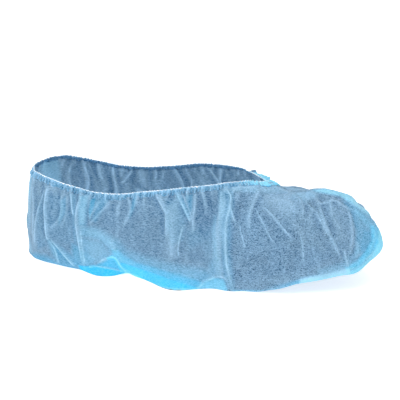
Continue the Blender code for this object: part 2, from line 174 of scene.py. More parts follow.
# Folds of the near side, drawn on the photograph. The line, the swell and the path are in its
# pixels: the line is the half-width of the paler crest, and the swell that of the ridge. The rise
# is in metres. The tone is how pale the crest is, from 0 to 1, partly doubled fabric and partly a
# painted highlight. The shade is how strong the painted shade on one side and the painted highlight
# on the other side's slope are, from -1 for the left to 1 for the right of a path that goes down. A
# path has x and y in turn.
Drawn = namedtuple("Drawn", "name line swell rise tone shade path")
DRAWN_FOLDS = table(
    Drawn,
    ("heel_line", 0.7, 1.4, 0.0006, 0.55, 0, (32.6, 180, 33.2, 200, 33, 228, 34, 250)),
    ("heel_line_two", 0.7, 1.6, 0.0008, 0.75, -0.3, (46, 187, 41.2, 200, 37.2, 213, 35, 228, 35.2, 249)),
    ("heel_band", 1, 2.4, 0.0026, 1, -0.35, (49.6, 183, 46.8, 195, 45.2, 207, 45.8, 222, 47.2, 235,
     50, 241)),
    ("heel_fork_rear", 0.7, 1.5, 0.0012, 0.9, 0.4, (48.5, 239, 54.4, 248, 57.6, 257, 59.2, 264)),
    ("heel_fork_front", 0.8, 1.8, 0.0016, 1, -0.35, (49.4, 237.6, 57.6, 247, 64.4, 255, 71.4, 262.5,
     76, 267)),
    ("heel_smile", 1.2, 2, 0.0012, 0.35, -1, (62, 190, 62.5, 203, 60.8, 215, 54, 225, 47, 229)),
    ("heel_smile_two", 1.6, 2.2, 0.0008, 0.3, 0.2, (67.5, 191, 67, 205, 65.5, 218, 59, 230)),
    ("rear_thin", 0.9, 1.6, 0.0009, 0.9, -0.2, (71, 191, 71.4, 204, 73.6, 217)),
    ("rear_upright", 0.9, 2.2, 0.0024, 1, -0.3, (82, 197, 77.4, 208, 76.4, 222, 78, 235, 80.8, 250,
     84.5, 267)),
    ("rear_twin", 0.7, 1.3, 0.001, 0.9, 0, (81, 228, 83, 245, 86.6, 266)),
    ("rear_swell", 3.6, 4.6, 0.0022, 0.4, 0.5, (89, 193, 84.5, 207, 83, 226)),
    ("rear_lean", 1, 1.7, 0.001, 0.45, 0.9, (101, 200, 95, 210, 89, 220)),
    ("rear_lean_two", 1, 1.8, 0.0012, 0.5, -0.3, (113, 199, 104, 209, 95, 218, 88, 225)),
    ("arch_drop", 1.4, 2.2, 0.0014, 0.5, 0.5, (127, 194, 130.9, 205, 129.7, 214, 123, 228)),
    ("arch_drop_two", 0.8, 1.5, 0.0009, 0.12, 0.4, (141, 194, 136, 204, 131, 215)),
    ("arch_edge", 0.9, 2.4, 0.002, 0.8, -0.35, (156, 192, 160.6, 201, 165, 208.5, 167.3, 216, 166.5, 240)),
    ("arch_swell", 5, 6, 0.002, 0.3, 0, (170, 200, 173, 225, 172, 262)),
    ("pocket_left", 1, 1.8, 0.0016, 0.85, -0.25, (177, 191, 182.4, 203.5, 187.3, 214.4, 191, 223)),
    ("pocket_mid", 0.7, 1.4, 0.0008, 0.4, 0, (182, 191, 186, 201, 190, 211, 192.5, 220)),
    ("pocket_right", 1.1, 1.8, 0.0016, 0.75, 0.5, (196.4, 192, 195.4, 204, 193.8, 218, 193.2, 234)),
    ("arch_thread", 0.7, 1.2, 0.0005, 0.9, 0, (184, 223, 180, 237.4, 178.2, 250, 179, 257)),
    ("main_left", 1.2, 1.8, 0.001, 0.25, -0.3, (221.5, 190, 220.8, 202, 219.4, 217, 217, 236)),
    ("main_band", 4.2, 4.8, 0.0024, 0.5, 0, (224.5, 192, 223.6, 208, 220.6, 222, 218, 240, 218.4, 262,
     223.4, 284)),
    ("main_crest", 1.3, 1.9, 0.0016, 0.9, 0.6, (231.6, 194, 230.6, 207, 227.4, 219.7, 225.8, 242,
     226.8, 261, 229.2, 273, 232.4, 287)),
    ("ball_edge", 0.8, 1.6, 0.0014, 1, 0.4, (224, 186.5, 228.4, 192.4, 231, 197, 231.4, 207, 233, 215,
     236, 225)),
    ("ball_yoke", 0.8, 1.5, 0.001, 0.9, 0.2, (262, 186, 249.7, 188.5, 239, 188.5, 230.5, 193)),
    ("ball_thread", 0.6, 1.2, 0.0005, 0.75, 0, (239.5, 224, 241.6, 235, 245.4, 249)),
    ("vamp_swell", 1.3, 2.8, 0.0018, 0.65, 0.5, (261, 188, 257, 196, 252.2, 207, 249.7, 217, 249, 231)),
    ("vamp_wrinkle_top", 0.8, 1.4, 0.0008, 0.65, 0.3, (265, 191, 276, 189, 289, 192, 298, 199)),
    ("vamp_wrinkle", 0.7, 1.3, 0.0008, 0.7, -0.3, (264, 198, 273, 194, 284, 193, 292, 196)),
    ("vamp_wrinkle_low", 0.7, 1.3, 0.0007, 0.6, 0.3, (266, 204, 276, 200, 287, 201, 296, 207)),
    ("vamp_hook", 0.7, 1.3, 0.0006, 0.5, 0, (258, 203, 264, 201, 270, 197)),
    ("toe_fan_rear", 0.6, 1.3, 0.0008, 0.75, 0.1, (254.5, 207, 262.2, 221, 268.4, 234, 274, 245)),
    ("toe_fan_front", 0.65, 1.4, 0.001, 0.8, 0.1, (262.5, 206, 272.1, 215, 282, 227, 294, 241)),
    ("toe_arc", 1.2, 2, 0.0012, 0.5, 0.3, (270, 198, 282, 196, 294.5, 197, 301, 202, 303.2, 210, 301, 218)),
    ("vamp_side", 0.8, 1.6, 0.0008, 0.6, 0.2, (298, 190, 303, 197, 308, 205, 316, 212)),
    ("toe_thread", 0.7, 1.2, 0.0006, 0.8, 0, (300.7, 233, 302.6, 249, 304, 264)),
    ("toe_diagonal", 0.8, 1.7, 0.0015, 0.6, 0.15, (308, 188, 315.4, 196, 319, 205, 324, 220, 330.3, 235,
     336.5, 248, 342, 262)),
    ("toe_diagonal_thread", 0.7, 1.2, 0.0006, 0.7, 0, (315, 209, 321, 222, 329, 237)),
    ("toe_cross", 0.9, 1.6, 0.0009, 0.8, -0.2, (315, 205, 325.6, 203, 334.3, 201, 342, 204.5)),
    ("toe_branch", 0.7, 1.4, 0.0008, 0.6, 0, (333.4, 194, 331, 203, 331.4, 213, 337, 224, 342, 231)),
    ("toe_upright", 0.8, 1.8, 0.0014, 0.85, -0.3, (347.5, 207, 350.4, 221, 351.8, 233, 350.4, 247,
     348.2, 256)),
    ("toe_foot", 1.1, 1.5, 0.0012, 1, -0.3, (343.8, 249, 345.6, 258, 348.4, 268)),
    ("toe_shoulder", 0.8, 1.6, 0.0008, 0.4, 0, (334, 201, 343, 206, 352, 209, 362, 212)),
    ("toe_rim", 1.2, 2, 0.0012, 0.5, -0.7, (366, 212, 373, 224, 373, 240, 368, 252, 359, 261, 347, 268)),
    ("toe_soft", 1.6, 2.2, 0.0008, 0.4, 0, (356.6, 240, 358, 250, 356, 260)),
    ("toe_rim_top", 1, 1.8, 0.001, 0.7, -0.4, (344, 195, 352, 203, 360, 208.5, 370, 216, 377, 228)),
    ("toe_rim_low", 0.8, 1.3, 0.0008, 0.9, 0, (379, 238, 374, 249, 366, 258, 356, 266, 342, 270)),
    ("toe_tip_crease", 0.7, 1.2, 0.0006, 0.7, 0.3, (372, 232, 377, 240, 381, 246)),
    ("lens_peak", 1.2, 1.8, 0.0018, 1, 0, (96, 263.6, 102, 260.5, 108, 257.8, 113, 256.6, 117, 258.8,
     120.4, 264.5, 124.6, 269, 129.6, 272.6)),
    ("lens_edge", 0.7, 1.2, 0.0008, 0.75, 0, (87, 267.4, 94, 266.2, 102, 267, 113, 269, 128, 272.6)),
    ("skirt_shoulder", 4, 4, 0.0016, 0.35, 0, (84, 228, 98, 233, 110, 240, 116, 250, 125, 260, 149, 268)),
    ("skirt_pleat", 1, 2, 0.0022, 1, -0.5, (193, 291, 198, 287.6, 204, 283, 211, 279, 219, 275.8,
     225, 277.5, 229, 283)),
)

# Places of the near side that are looser or tighter than the rest, drawn on the photograph in its
# pixels. Free is bluer fabric that stands away, light is paler, partly painted highlights, and tight
# is greyer, where the fabric hugs and with painted shade in the gaps between folds, from 0 to 1. An
# outline has x and y in turn.
Patch = namedtuple("Patch", "name free light tight soft outline")
PATCHES = table(
    Patch,
    ("skirt_top", 0.62, 0.08, 0, 4, (112, 248, 119, 249, 124, 254, 136, 261, 155, 267, 175, 273, 196, 279,
     204, 283, 204, 300, 190, 302, 160, 298, 129, 282, 112, 262)),
    ("skirt_haze", 0.22, 0.12, 0, 6, (106, 236, 118, 240, 126, 250, 142, 256, 162, 262, 190, 268, 214, 272,
     214, 290, 190, 300, 150, 290, 108, 264)),
    ("skirt", 1, 0, 0, 2.6, (117, 260, 127, 262, 148, 270, 167, 277, 186, 283, 200, 287, 204, 300, 190, 302,
     160, 298, 129, 282, 117, 268)),
    ("skirt_front", 0.6, 0.42, 0, 2.5, (196, 288, 204, 281, 214, 277, 224, 279, 230, 298, 196, 300)),
    ("skirt_foot", 0.9, 0.72, 0, 1.6, (124, 270, 134, 274.5, 146, 280.5, 158, 285.5, 170, 288, 186, 288.5,
     202, 288, 204, 297, 150, 299, 126, 284)),
    ("lens", 1, 0, 0, 1.2, (78, 265, 87, 266, 94, 265, 106, 267.6, 130, 272, 132, 277, 118, 285, 100, 286,
     84, 277)),
    ("peak", 1, 0.25, 0, 1.3, (106.5, 257.8, 112, 254.6, 117, 256, 121.4, 262.6, 131, 271.4, 127, 274,
     117, 265.6, 113, 259.8, 107.6, 260)),
    ("lens_inside", 0.75, 0.12, 0, 3, (94, 266, 103, 262, 110, 257, 114, 258, 124, 271, 106, 268)),
    ("rear_slack", 0.22, 0.26, 0, 4.5, (80, 225, 98, 229, 112, 237, 119, 248, 123, 262, 114, 262, 109, 250,
     98, 240, 80, 236)),
    ("rear_low", 0.2, 0.28, 0, 5, (78, 236, 104, 242, 112, 258, 104, 264, 82, 264)),
    ("rear_pale", 0.1, 0.22, 0, 2.5, (70, 194, 76, 194, 76.6, 215, 77.6, 240, 81, 262, 76, 262, 73, 236,
     71.6, 212)),
    ("rear_wedge", 0.32, 0, 0.9, 1.6, (91, 200, 97, 195, 95, 206, 90, 219, 89, 210)),
    ("rear_band", 0.22, 0.1, 0, 3, (80, 196, 90, 194, 88, 208, 86, 226, 79, 226, 79, 210)),
    ("rear_blue", 0.16, 0.08, 0, 3, (96, 194, 112, 195, 104, 208, 96, 222, 92, 220)),
    ("arch_wedge", 0.2, 0, 0.95, 1.8, (134, 195, 138, 195, 136, 206, 130, 218, 132, 206)),
    ("heel_wedge", 0.15, 0, 0.9, 1.8, (61.5, 200, 66, 196, 66, 213, 58, 227, 58, 219)),
    ("main_fold", 0.12, 0.1, 0, 3, (219, 190, 234, 190, 234, 206, 231, 222, 230, 250, 235, 291, 225, 290,
     220, 250, 220, 222)),
    ("main_left", 0.16, 0.34, 0, 4, (212, 230, 216, 216, 219, 250, 223, 270, 223, 284, 206, 282, 208, 268,
     213, 256)),
    ("arch_light", 0.08, 0.12, 0, 4, (166, 200, 178, 198, 186, 222, 184, 240, 172, 244, 167, 226)),
    ("arch_low", 0.05, 0.1, 0, 6, (204, 230, 212, 226, 218, 262, 206, 268)),
    ("arch_blue", 0.06, 0.03, 0, 6, (184, 230, 198, 228, 204, 242, 190, 248)),
    ("heel_panel", 0.04, 0, 0.5, 5, (36, 196, 58, 194, 74, 214, 74, 246, 52, 246, 36, 228)),
    ("heel_strip", 0.06, 0, 0.6, 2, (36, 206, 43, 200, 43, 232, 46, 246, 37, 250)),
    ("rear_panel", 0, 0, 0.55, 6, (88, 212, 100, 204, 122, 200, 158, 206, 158, 218, 124, 238, 104, 230,
     88, 224)),
    ("arch_panel", 0, 0, 0.42, 5, (182, 200, 214, 200, 214, 224, 208, 262, 190, 262, 184, 232)),
    ("rim_front", 0.1, 0.5, 0, 3, (222, 184, 262, 182, 300, 183, 345, 184, 346, 193, 306, 193, 264, 193,
     224, 192)),
    ("toe_lower", 0.16, 0.35, 0, 4, (318, 270, 340, 264, 350, 259, 362, 259, 352, 276, 320, 282)),
    ("vamp", 0, 0.52, 0, 9, (262, 194, 290, 190, 300, 203, 294, 214, 284, 212, 268, 206)),
    ("vamp_front", 0.1, 0.5, 0, 4, (290, 186, 318, 186, 318, 196, 306, 202, 292, 198)),
    ("toe_top", 0.6, 0.82, 0, 2, (296, 176, 334, 178, 354, 186, 356, 203, 349, 202, 340, 195.5, 318, 192,
     304, 189.5)),
    ("toe_top_front", 0.55, 0.9, 0, 2.5, (346, 184, 362, 190, 380, 210, 377, 226, 367, 215, 350, 203)),
    ("toe_end", 0.22, 0.14, 0, 3, (343, 200, 358, 206, 372, 222, 374, 240, 362, 250, 352, 262, 356, 246,
     356, 230, 352, 214)),
    ("toe_fan", 0, 0, 0.5, 5, (240, 204, 254, 208, 276, 220, 300, 236, 300, 244, 270, 240, 244, 232)),
    ("toe_side", 0, 0.22, 0, 5, (326, 206, 342, 205, 350, 222, 349, 248, 343, 254, 336, 236)),
    ("toe_inner", 0.3, 0, 0.6, 2.5, (363, 228, 372, 232, 372, 244, 366, 252, 359, 254, 360, 244)),
    ("toe_skirting", 0.1, 0.24, 0, 4, (344, 258, 352, 253, 360, 250, 366, 252, 356, 264, 342, 269)),
    ("toe_fringe", 0.8, 0.68, 0, 1.8, (370, 208, 386, 222, 394, 246, 390, 260, 366, 276, 346, 280, 347, 272,
     360, 265.5, 370, 255, 376.5, 243, 377.5, 229)),
    ("toe_band", 0.72, 0.26, 0, 2.2, (370, 224, 378, 229, 377, 243, 370, 256, 360, 266, 347, 272, 344, 268,
     356, 261, 365, 251, 371, 240)),
    ("toe_bluish", 0.34, 0.3, 0, 3, (352, 206, 362, 210, 372, 220, 376, 232, 371, 232, 362, 222, 354, 214)),
    ("toe_under", 0.32, 1, 0, 1.8, (300, 279, 331, 272, 350, 267, 352, 282, 330, 290, 298, 294)),
    ("toe_sole", 0.4, 0.45, 0, 1.4, (232, 290, 262, 290.5, 284, 287, 302, 281, 304, 297, 232, 299)),
    ("heel_edge", 0.2, 0.46, 0, 2, (24, 168, 33, 170, 31, 200, 29, 235, 32, 252, 22, 252)),
    ("heel_foot", 0.34, 0, 0.3, 4, (28, 252, 44, 256, 58, 261, 70, 263, 84, 268, 80, 276, 50, 272,
     26, 262)),
    ("heel_low", 0.26, 0.05, 0, 4, (47, 238, 55, 244, 66, 252, 78, 258, 80, 268, 60, 265, 52, 254)),
    ("fork_gap", 0.22, 0, 0.6, 1.6, (50, 245, 58, 253, 67, 263, 60, 265, 57, 257)),
    ("rear_foot", 0.3, 0.06, 0, 4, (72, 244, 80, 246, 98, 259, 92, 267, 72, 268)),
    ("pocket", 0, 0, 1, 3.5, (198, 195, 215, 194, 215, 224, 207, 242, 198, 234, 197, 212)),
    ("front_panel", 0, 0, 0.45, 5, (235, 214, 255, 214, 292, 246, 330, 250, 338, 258, 300, 272, 236, 284,
     231, 262)),
    ("ball_pocket", 0, 0, 0.62, 2.5, (236, 194, 252, 193, 247, 208, 243, 224, 238, 222, 236, 206)),
    ("arch_slot", 0.16, 0, 0.9, 1.8, (186, 195, 193.5, 194, 192.5, 208, 190.5, 214)),
    ("pocket_blue", 0.14, 0.02, 0, 1.6, (174, 190, 180, 190, 190.4, 213, 190, 221, 185.6, 216)),
    ("mid_panel", 0, 0, 0.48, 5, (134, 203, 158, 203, 163, 242, 156, 258, 136, 254, 118, 236)),
    ("rear_pocket", 0, 0, 0.4, 3, (52, 238, 72, 226, 74, 250, 66, 254)),
)

# Broad swells that trim the outline, in metres: a place in the frame, a radius and a move.
Swell = namedtuple("Swell", "name x y z radius forward left up")
SWELLS = table(
    Swell,
    ("far_shoulder", 0.109, 0.012, 0.078, 0.017, 0, 0, 0.0032),
    ("far_corner", 0.137, 0.013, 0.072, 0.010, -0.0010, 0, -0.0032),
    ("far_vamp", 0.062, 0.038, 0.071, 0.016, 0, 0, -0.0022),
    ("tip_corner", 0.157, 0.002, 0.047, 0.009, 0.0012, 0, 0),
    ("tip_shoulder", 0.1515, 0.010, 0.0568, 0.010, -0.0010, 0, -0.0010),
    ("sole_corner", 0.143, -0.019, 0.022, 0.012, 0.0012, -0.0040, -0.0026),
    ("sole_side", 0.100, -0.042, 0.010, 0.020, 0, 0, 0.0018),
    ("heel_side", -0.110, -0.043, 0, 0.018, 0, -0.0050, 0),
    ("heel_waist", -0.158, 0, 0.040, 0.007, 0.0012, 0, 0),
    ("heel_bulge", -0.158, 0, 0.020, 0.016, -0.0034, 0, 0),
    ("skirt_rear", -0.050, -0.052, 0, 0.024, 0, -0.0045, 0),
)

# Folds of the far side, which the photograph doesn't show, in the mirrored view of it
FAR_FOLDS = table(
    Drawn,
    ("heel_line", 0.8, 1.6, 0.0008, 0.6, 0.2, (40, 190, 36, 206, 37, 226, 36, 246)),
    ("heel_band", 1, 2.4, 0.002, 0.8, 0.4, (54, 184, 50, 198, 52, 216, 49, 234, 53, 246)),
    ("heel_fork", 0.9, 1.8, 0.0012, 0.8, 0, (50, 236, 58, 248, 66, 262)),
    ("rear_short", 0.9, 1.6, 0.001, 0.6, -0.3, (66, 190, 63, 203, 65, 215)),
    ("rear", 1.1, 2.6, 0.0022, 0.9, -0.4, (82, 192, 78, 207, 79, 226, 76, 246, 79, 267)),
    ("rear_lean", 1.2, 1.8, 0.0012, 0.6, 0.4, (104, 195, 96, 208, 84, 222)),
    ("slack", 2.4, 3.2, 0.0014, 0.5, 0.3, (97, 222, 108, 236, 113, 252, 124, 268)),
    ("middle_short", 0.9, 1.6, 0.001, 0.6, 0.3, (121, 194, 124, 206, 121, 217)),
    ("middle", 1.2, 2.8, 0.002, 0.8, 0.4, (139, 194, 145, 208, 149, 226, 147, 250)),
    ("middle_thread", 0.7, 1.2, 0.0006, 0.7, 0, (160, 212, 157, 232, 160, 252)),
    ("waist_left", 0.9, 1.8, 0.0014, 0.9, -0.3, (172, 192, 179, 204, 185, 217, 187, 226)),
    ("waist_right", 1.5, 2.2, 0.0014, 0.7, 0.5, (196, 192, 191, 206, 188, 222, 189, 240)),
    ("skirt", 1, 2, 0.0018, 0.8, -0.4, (176, 286, 186, 276, 198, 271, 208, 276)),
    ("ball_short", 0.9, 1.6, 0.001, 0.7, 0, (209, 190, 211, 202, 208, 213)),
    ("ball_band", 3, 4.6, 0.0024, 0.4, 0, (232, 191, 228, 210, 231, 236, 228, 260, 231, 287)),
    ("ball", 1, 1.8, 0.0014, 0.9, 0.5, (234, 190, 231, 208, 233, 228, 229, 250, 230, 286)),
    ("ball_thread", 0.7, 1.2, 0.0007, 0.8, 0, (245, 206, 249, 222, 256, 240)),
    ("vamp", 1.1, 2.2, 0.0014, 0.7, -0.4, (258, 192, 264, 206, 275, 220, 288, 232)),
    ("toe_arc", 2, 2.4, 0.0012, 0.4, 0, (272, 204, 287, 200, 298, 208, 300, 222)),
    ("toe", 1.2, 2.6, 0.002, 0.8, 0.4, (300, 194, 309, 208, 316, 228, 327, 246, 332, 264)),
    ("toe_thread", 0.7, 1.3, 0.0007, 0.8, 0, (290, 238, 294, 252, 293, 268)),
    ("toe_branch", 0.9, 1.6, 0.001, 0.7, 0.2, (326, 204, 330, 218, 338, 232)),
    ("toe_upright", 0.9, 2, 0.0014, 0.8, -0.3, (350, 212, 352, 228, 348, 246, 350, 262)),
    ("toe_shoulder", 1, 1.8, 0.001, 0.5, 0, (345, 207, 356, 212, 369, 222)),
)

# Patches that the far side has too, mirrored
MIRRORED = (
    "toe_top", "toe_top_front", "toe_end", "toe_fringe", "toe_band", "toe_under", "toe_sole",
    "heel_edge", "heel_foot", "front_panel", "mid_panel",
)

# How a drawn fold looks. Its crest wavers, and it tapers over a share of its length to what is left
# at its ends. The shaded side is steeper, and has painted shade on it, and the other side has a
# painted highlight on its lit slope. Where the shaded side starts, how far the lit slope reaches, and
# the painted shade's place and width are in swells, and so is how far from its path a fold reaches
# at most.
CREST_LEVEL = 0.82
CREST_WAVER = 0.25
END_HEIGHT = 0.10
END_LENGTH = 0.16
RIDGE_FORM = 1.5
SHADE_START = 0.8
STEEPER = 0.4
SLOPE_HIGHLIGHT = 0.80
SLOPE_REACH = 1.4
SHADE_PLACE = 1.5
SHADE_WIDTH = 1.1
FOLD_REACH = 4.0

# How far a place faces the camera, from where nothing drawn on it shows to where all of it does
FACING = (0.02, 0.30)

# The pleats that the elastic draws in, in families. Width, rise and reach are in metres, from least
# to most, and the slant is how far a pleat leans at most, in metres to each metre down.
Pleats = namedtuple("Pleats", "name count width rise reach slant")
PLEAT_FAMILIES = table(
    Pleats,
    ("puckers", 170, (0.0006, 0.0015), (0.0003, 0.0011), (0.004, 0.009), 0.25),
    ("gathers", 70, (0.0012, 0.0028), (0.0005, 0.0014), (0.008, 0.022), 0.45),
    ("long_folds", 26, (0.0022, 0.0046), (0.0007, 0.0016), (0.026, 0.056), 0.45),
)

# Crumples over the whole fabric: cells across and down, and the rise, in metres. A sharp one has
# creases between its cells.
Crumple = namedtuple("Crumple", "across down rise sharp")
CRUMPLES = table(
    Crumple,
    (0.050, 0.070, 0.0012, False),
    (0.017, 0.034, 0.0005, True),
    (0.008, 0.012, 0.00022, True),
)

# Each pleat's own shift, in steps from one to the next, its lean, and how it opens downwards
PLEAT_SHIFT = 0.36
PLEAT_LEAN = 0.5
PLEAT_OPENING = 0.7
PLEAT_FORM = 1.4

# Moves each layer of crumples to cells of its own. Sharp ones have this level between their creases
# and this drop, and all of them come in over this zone under the rim.
CRUMPLE_OFFSET = (3.1, 1.7, 5.3)
SHARP_LEVEL = 0.6
SHARP_DROP = 1.4
CRUMPLE_ZONE = (0.5 * HEM_WIDTH, 2.5 * HEM_WIDTH)

# Where the fabric stands off, from not at all to fully: its gap to the hugging form, the shares of
# the length at the tip and at the toe, and the height over the toe's floor edge
LOOSE_GAP = (0.005, 0.016)
TIP_ZONE = (0.960, 0.995)
TOE_ZONE = (0.70, 0.85)
TOE_EDGE = (0.002, 0.007)

# Below this height the relief fades to the flat sole
FLAT_HEIGHT = 0.008

# The body begins under the hem, this share of the hem's width down
BODY_START = 0.6

# How many columns and rows to each side the facing and the relief are spread over
TURN_BLUR = (16, 2)
DETAIL_BLUR = (9, 3)

# The rise over the blurred form that gives a crest a painted highlight and the drop that gives a
# hollow painted shade, and the most that each may be
HIGHLIGHT_RISE = 0.0014
HIGHLIGHT_MOST = 0.4
SHADE_RISE = 0.0006
SHADE_MOST = 0.9

# How strong the dark grain is at the heel, and what the arch and the ball add to it, each from where
# to where in shares of the length. The plain one is for the sole and the hem.
HEEL_GRAIN = 0.15
ARCH_GRAIN = 0.30
ARCH_ZONE = (0.12, 0.36)
BALL_GRAIN = 0.60
BALL_ZONE = (0.56, 0.66)
PLAIN_GRAIN = 0.6

# How much cloth there is to a length of rim, for the pattern of bond dots
GATHERING = 1.5

# The hem's gathers, how far each is shifted at most, in gathers, and how tall they are, from the
# lowest to the tallest
GATHERS = 200
GATHER_SHIFT = 0.44
GATHER_HEIGHTS = (0.10, 1.40)

# The hem's rows from its inner edge over the rim to its outer edge: the way down, as a share of its
# width, and the layer, from -1 for inside to 1 for outside
HEM_ROWS = (
    (0.80, -1), (0.55, -1), (0.30, -1), (0.10, -0.9), (0.02, -0.5), (0, 0), (0.02, 0.5), (0.10, 0.9),
    (0.24, 1), (0.40, 1), (0.56, 1), (0.72, 1), (0.86, 1.1), (0.95, 1.2), (1, 1),
)

# How far a layer lies from the fabric's middle and the whole hem from the wall, how far down the
# hem's lower edge begins to come free, and how far down the puckers under it are read
LAYER_GAP = 0.00032
HEM_OFFSET = 0.00025
HEM_FREE_FROM = 0.0010
PUCKER_START = 0.0015

# The hem's front, where it is paler, wider and more ruffled: from where to where on the near side
# and on the far side, in shares of the opening's length
NEAR_FRONT = (0.90, 0.97)
FAR_FRONT = (0.80, 0.90)

# Waves of the hem's width to a gather, the share of the width they take, and what the front adds
HEM_WAVES = 0.37
WAVE_SHARE = 0.10
FRONT_WIDENING = 0.5

# The hem's ruffle, what its lower edge adds, and how much more the front has
RUFFLE = 0.00020
EDGE_RUFFLE = 0.00050
FRONT_RUFFLE = 1.2

# The share of the puckers that the hem's upper part shows, with all of them at its lower edge
UPPER_PUCKERS = 0.35

# How far the gathers stand over the rim, what the front adds, and how far down the hem they reach,
# as a share of its width
GATHER_RISE = 0.00015
FRONT_RISE = 0.0009
RISE_REACH = 0.15

# The painted highlight on the hem's outside along the rim, and how far down that reaches
RIM_HIGHLIGHT = 0.42
RIM_HIGHLIGHT_REACH = 0.0022

# The hem's tones: plain, what the front adds, and the painted light that the inside adds to the light
# one. Then the rise of its crests for a painted highlight and the drop of its hollows for painted
# shade, and the most that the light and the grey painted shade may be.
HEM_FREE = 0.10
FRONT_FREE = 0.7
HEM_LIGHT = 0.04
FRONT_LIGHT = 0.60
INSIDE_PAINTED_LIGHT = 0.4
HEM_HIGHLIGHT_RISE = 0.0016
HEM_SHADE_RISE = 0.0008
LIGHT_MOST = 0.85
HEM_SHADE_MOST = 0.8

# The elastic at a plain place and what a gather changes: its radius as a share of half its
# diameter, and how far it lies over the rim and outside it
THREAD_RADIUS = (0.62, -0.16)
THREAD_UP = (0.0001, 0.00035)
THREAD_OUT = (0.0005, 0.0002)

# The fabric's blues: plain, on the hem, grey where it hugs and for painted shade, loose, and for paler
# crests and painted highlights on plain and on loose fabric
PANEL_BLUE = (0.198, 0.342, 0.480, 1.0)
HEM_BLUE = (0.130, 0.305, 0.490, 1.0)
GREY_AND_SHADE_BLUE = (0.112, 0.232, 0.372, 1.0)
LOOSE_BLUE = (0.060, 0.600, 0.980, 1.0)
CREST_BLUE = (0.480, 0.750, 0.980, 1.0)
BRIGHT_BLUE = (0.440, 0.940, 1.000, 1.0)

# How far the speckle of the fibres moves the fabric's red, green and blue
SPECKLE = (0.42, 0.56, 0.68)

# Noise textures: how they are squeezed along each axis, and their scale per metre
Texture = namedtuple("Texture", "stretch scale detail roughness")
SPECKS = Texture((0.9, 0.9, 1.2), 1250.0, 2.0, 0.6)
FIBRES = Texture((0.5, 0.5, 1.7), 950.0, 1.0, 0.5)
CLOUDS = Texture((1.0, 1.0, 0.8), 60.0, 2.0, 0.5)
WRAPPING = Texture((1.0, 1.0, 1.0), 600.0, 1.0, 0.5)

# The bond dots: how many to a metre of cloth, and a dot's radius as a share of their pitch
DOT_SCALE = 850.0
DOT_SIZE = 0.26

Lamp = namedtuple("Lamp", "name place size power")
LAMPS = (
    Lamp("key", (-0.45, -0.9, 1.0), 0.6, 8.0),
    Lamp("top", (0.3, -0.2, 1.3), 0.8, 5.0),
)
LAMP_AIM = (0.0, 0.0, 0.04)


def end_spaced(along):
    return np.arccos(1.0 - 2.0 * np.clip(along, 0.0, 1.0)) / math.pi


def curve_through(knots, values, at):
    """Reads a smooth curve through the knots that never swings past its values."""
    knots = np.asarray(knots, float)
    values = np.asarray(values, float)
    steps = np.diff(knots)
    slopes = np.diff(values) / steps
    tangents = np.empty_like(values)
    tangents[0] = slopes[0]
    tangents[-1] = slopes[-1]
    product = slopes[:-1] * slopes[1:]
    total = slopes[:-1] + slopes[1:]
    tangents[1:-1] = np.where(product > 0.0, 2.0 * product / np.where(total == 0.0, 1.0, total), 0.0)
    place = np.clip(np.searchsorted(knots, at, side="right") - 1, 0, len(steps) - 1)
    share = (at - knots[place]) / steps[place]
    start = values[place] + share * steps[place] * tangents[place]
    back = values[place + 1] - (1.0 - share) * steps[place] * tangents[place + 1]
    ease = share * share * (3.0 - 2.0 * share)
    return start + (back - start) * ease


def table_curves(rows, key, columns, t):
    """Smooth curves through some columns of a table."""
    knots = end_spaced(np.array([getattr(row, key) for row in rows]))
    return [curve_through(knots, [getattr(row, column) for row in rows], t) for column in columns]


def smooth_step(value, low, high):
    share = np.clip((value - low) / (high - low), 0.0, 1.0)
    return share * share * (3.0 - 2.0 * share)


def bump(distance, width):
    return np.exp(-((distance / width) ** 2))


def ring_places(columns):
    """Each column's share of the way from heel to toe, and its side: 0 on the two end columns.

    The columns are spaced evenly along the girth and the rim together.
    """
    fine = np.linspace(0.0, 1.0, RING_SAMPLES)
    spacing = np.zeros(len(fine) - 1)
    for line in (girth_line(fine, NEAR), rim_line(fine, NEAR)):
        spacing += np.linalg.norm(np.diff(line, axis=0), axis=1)
    way = np.concatenate([[0.0], np.cumsum(spacing)])
    half = columns // 2
    t = np.interp(np.linspace(0.0, way[-1], half + 1), way, fine)
    side = np.where(np.arange(columns) < half, NEAR, FAR)
    side[0] = 0
    side[half] = 0
    return np.concatenate([t, t[-2:0:-1]]), side


def girth_line(t, side):
    x = LENGTH * (1.0 - np.cos(math.pi * t)) / 2.0
    near, far, height = table_curves(SECTIONS, "along", ("near", "far", "height"), t)
    y = side * HALF_WIDTH * np.where(side == NEAR, near, far)
    return np.stack([x, y, GIRTH_HEIGHT * height], axis=1)


def rim_line(t, side):
    along, half, near, far = table_curves(RIM, "at", ("along", "half", "near", "far"), t)
    x = HEEL_OVERHANG + RIM_LENGTH * along
    y = side * RIM_HALF_WIDTH * half
    return np.stack([x, y, RIM_HEIGHT * np.where(side == NEAR, near, far)], axis=1)


def toe_lift(t):
    """The height of the floor edge, which the toe's spring lifts."""
    return TOE_SPRING * table_curves(SECTIONS, "along", ("lift",), t)[0]


def outward(points):
    along = np.roll(points, -1, axis=0) - np.roll(points, 1, axis=0)
    out = np.stack([along[:, 1], -along[:, 0], np.zeros(len(points))], axis=1)
    return out / np.linalg.norm(out, axis=1, keepdims=True)


def floor_line(girth, t, side, lobes):
    along = girth[:, 0] / LENGTH
    reach = np.full(len(girth), -SOLE_TUCK)
    for lobe in lobes:
        shape = bump(along - lobe.along, lobe.width)
        reach += np.where(side * lobe.side >= 0, HALF_WIDTH * lobe.reach * shape, 0.0)
    floor = girth + outward(girth) * reach[:, None]
    half = len(girth) // 2
    shared = (floor[1:half, 0] + floor[:half:-1, 0]) / 2.0
    floor[1:half, 0] = shared
    floor[:half:-1, 0] = shared
    floor[:, 2] = toe_lift(t)
    return floor, reach


def toe_share(t):
    return smooth_step(t, TOE_START, 1.0)[:, None]


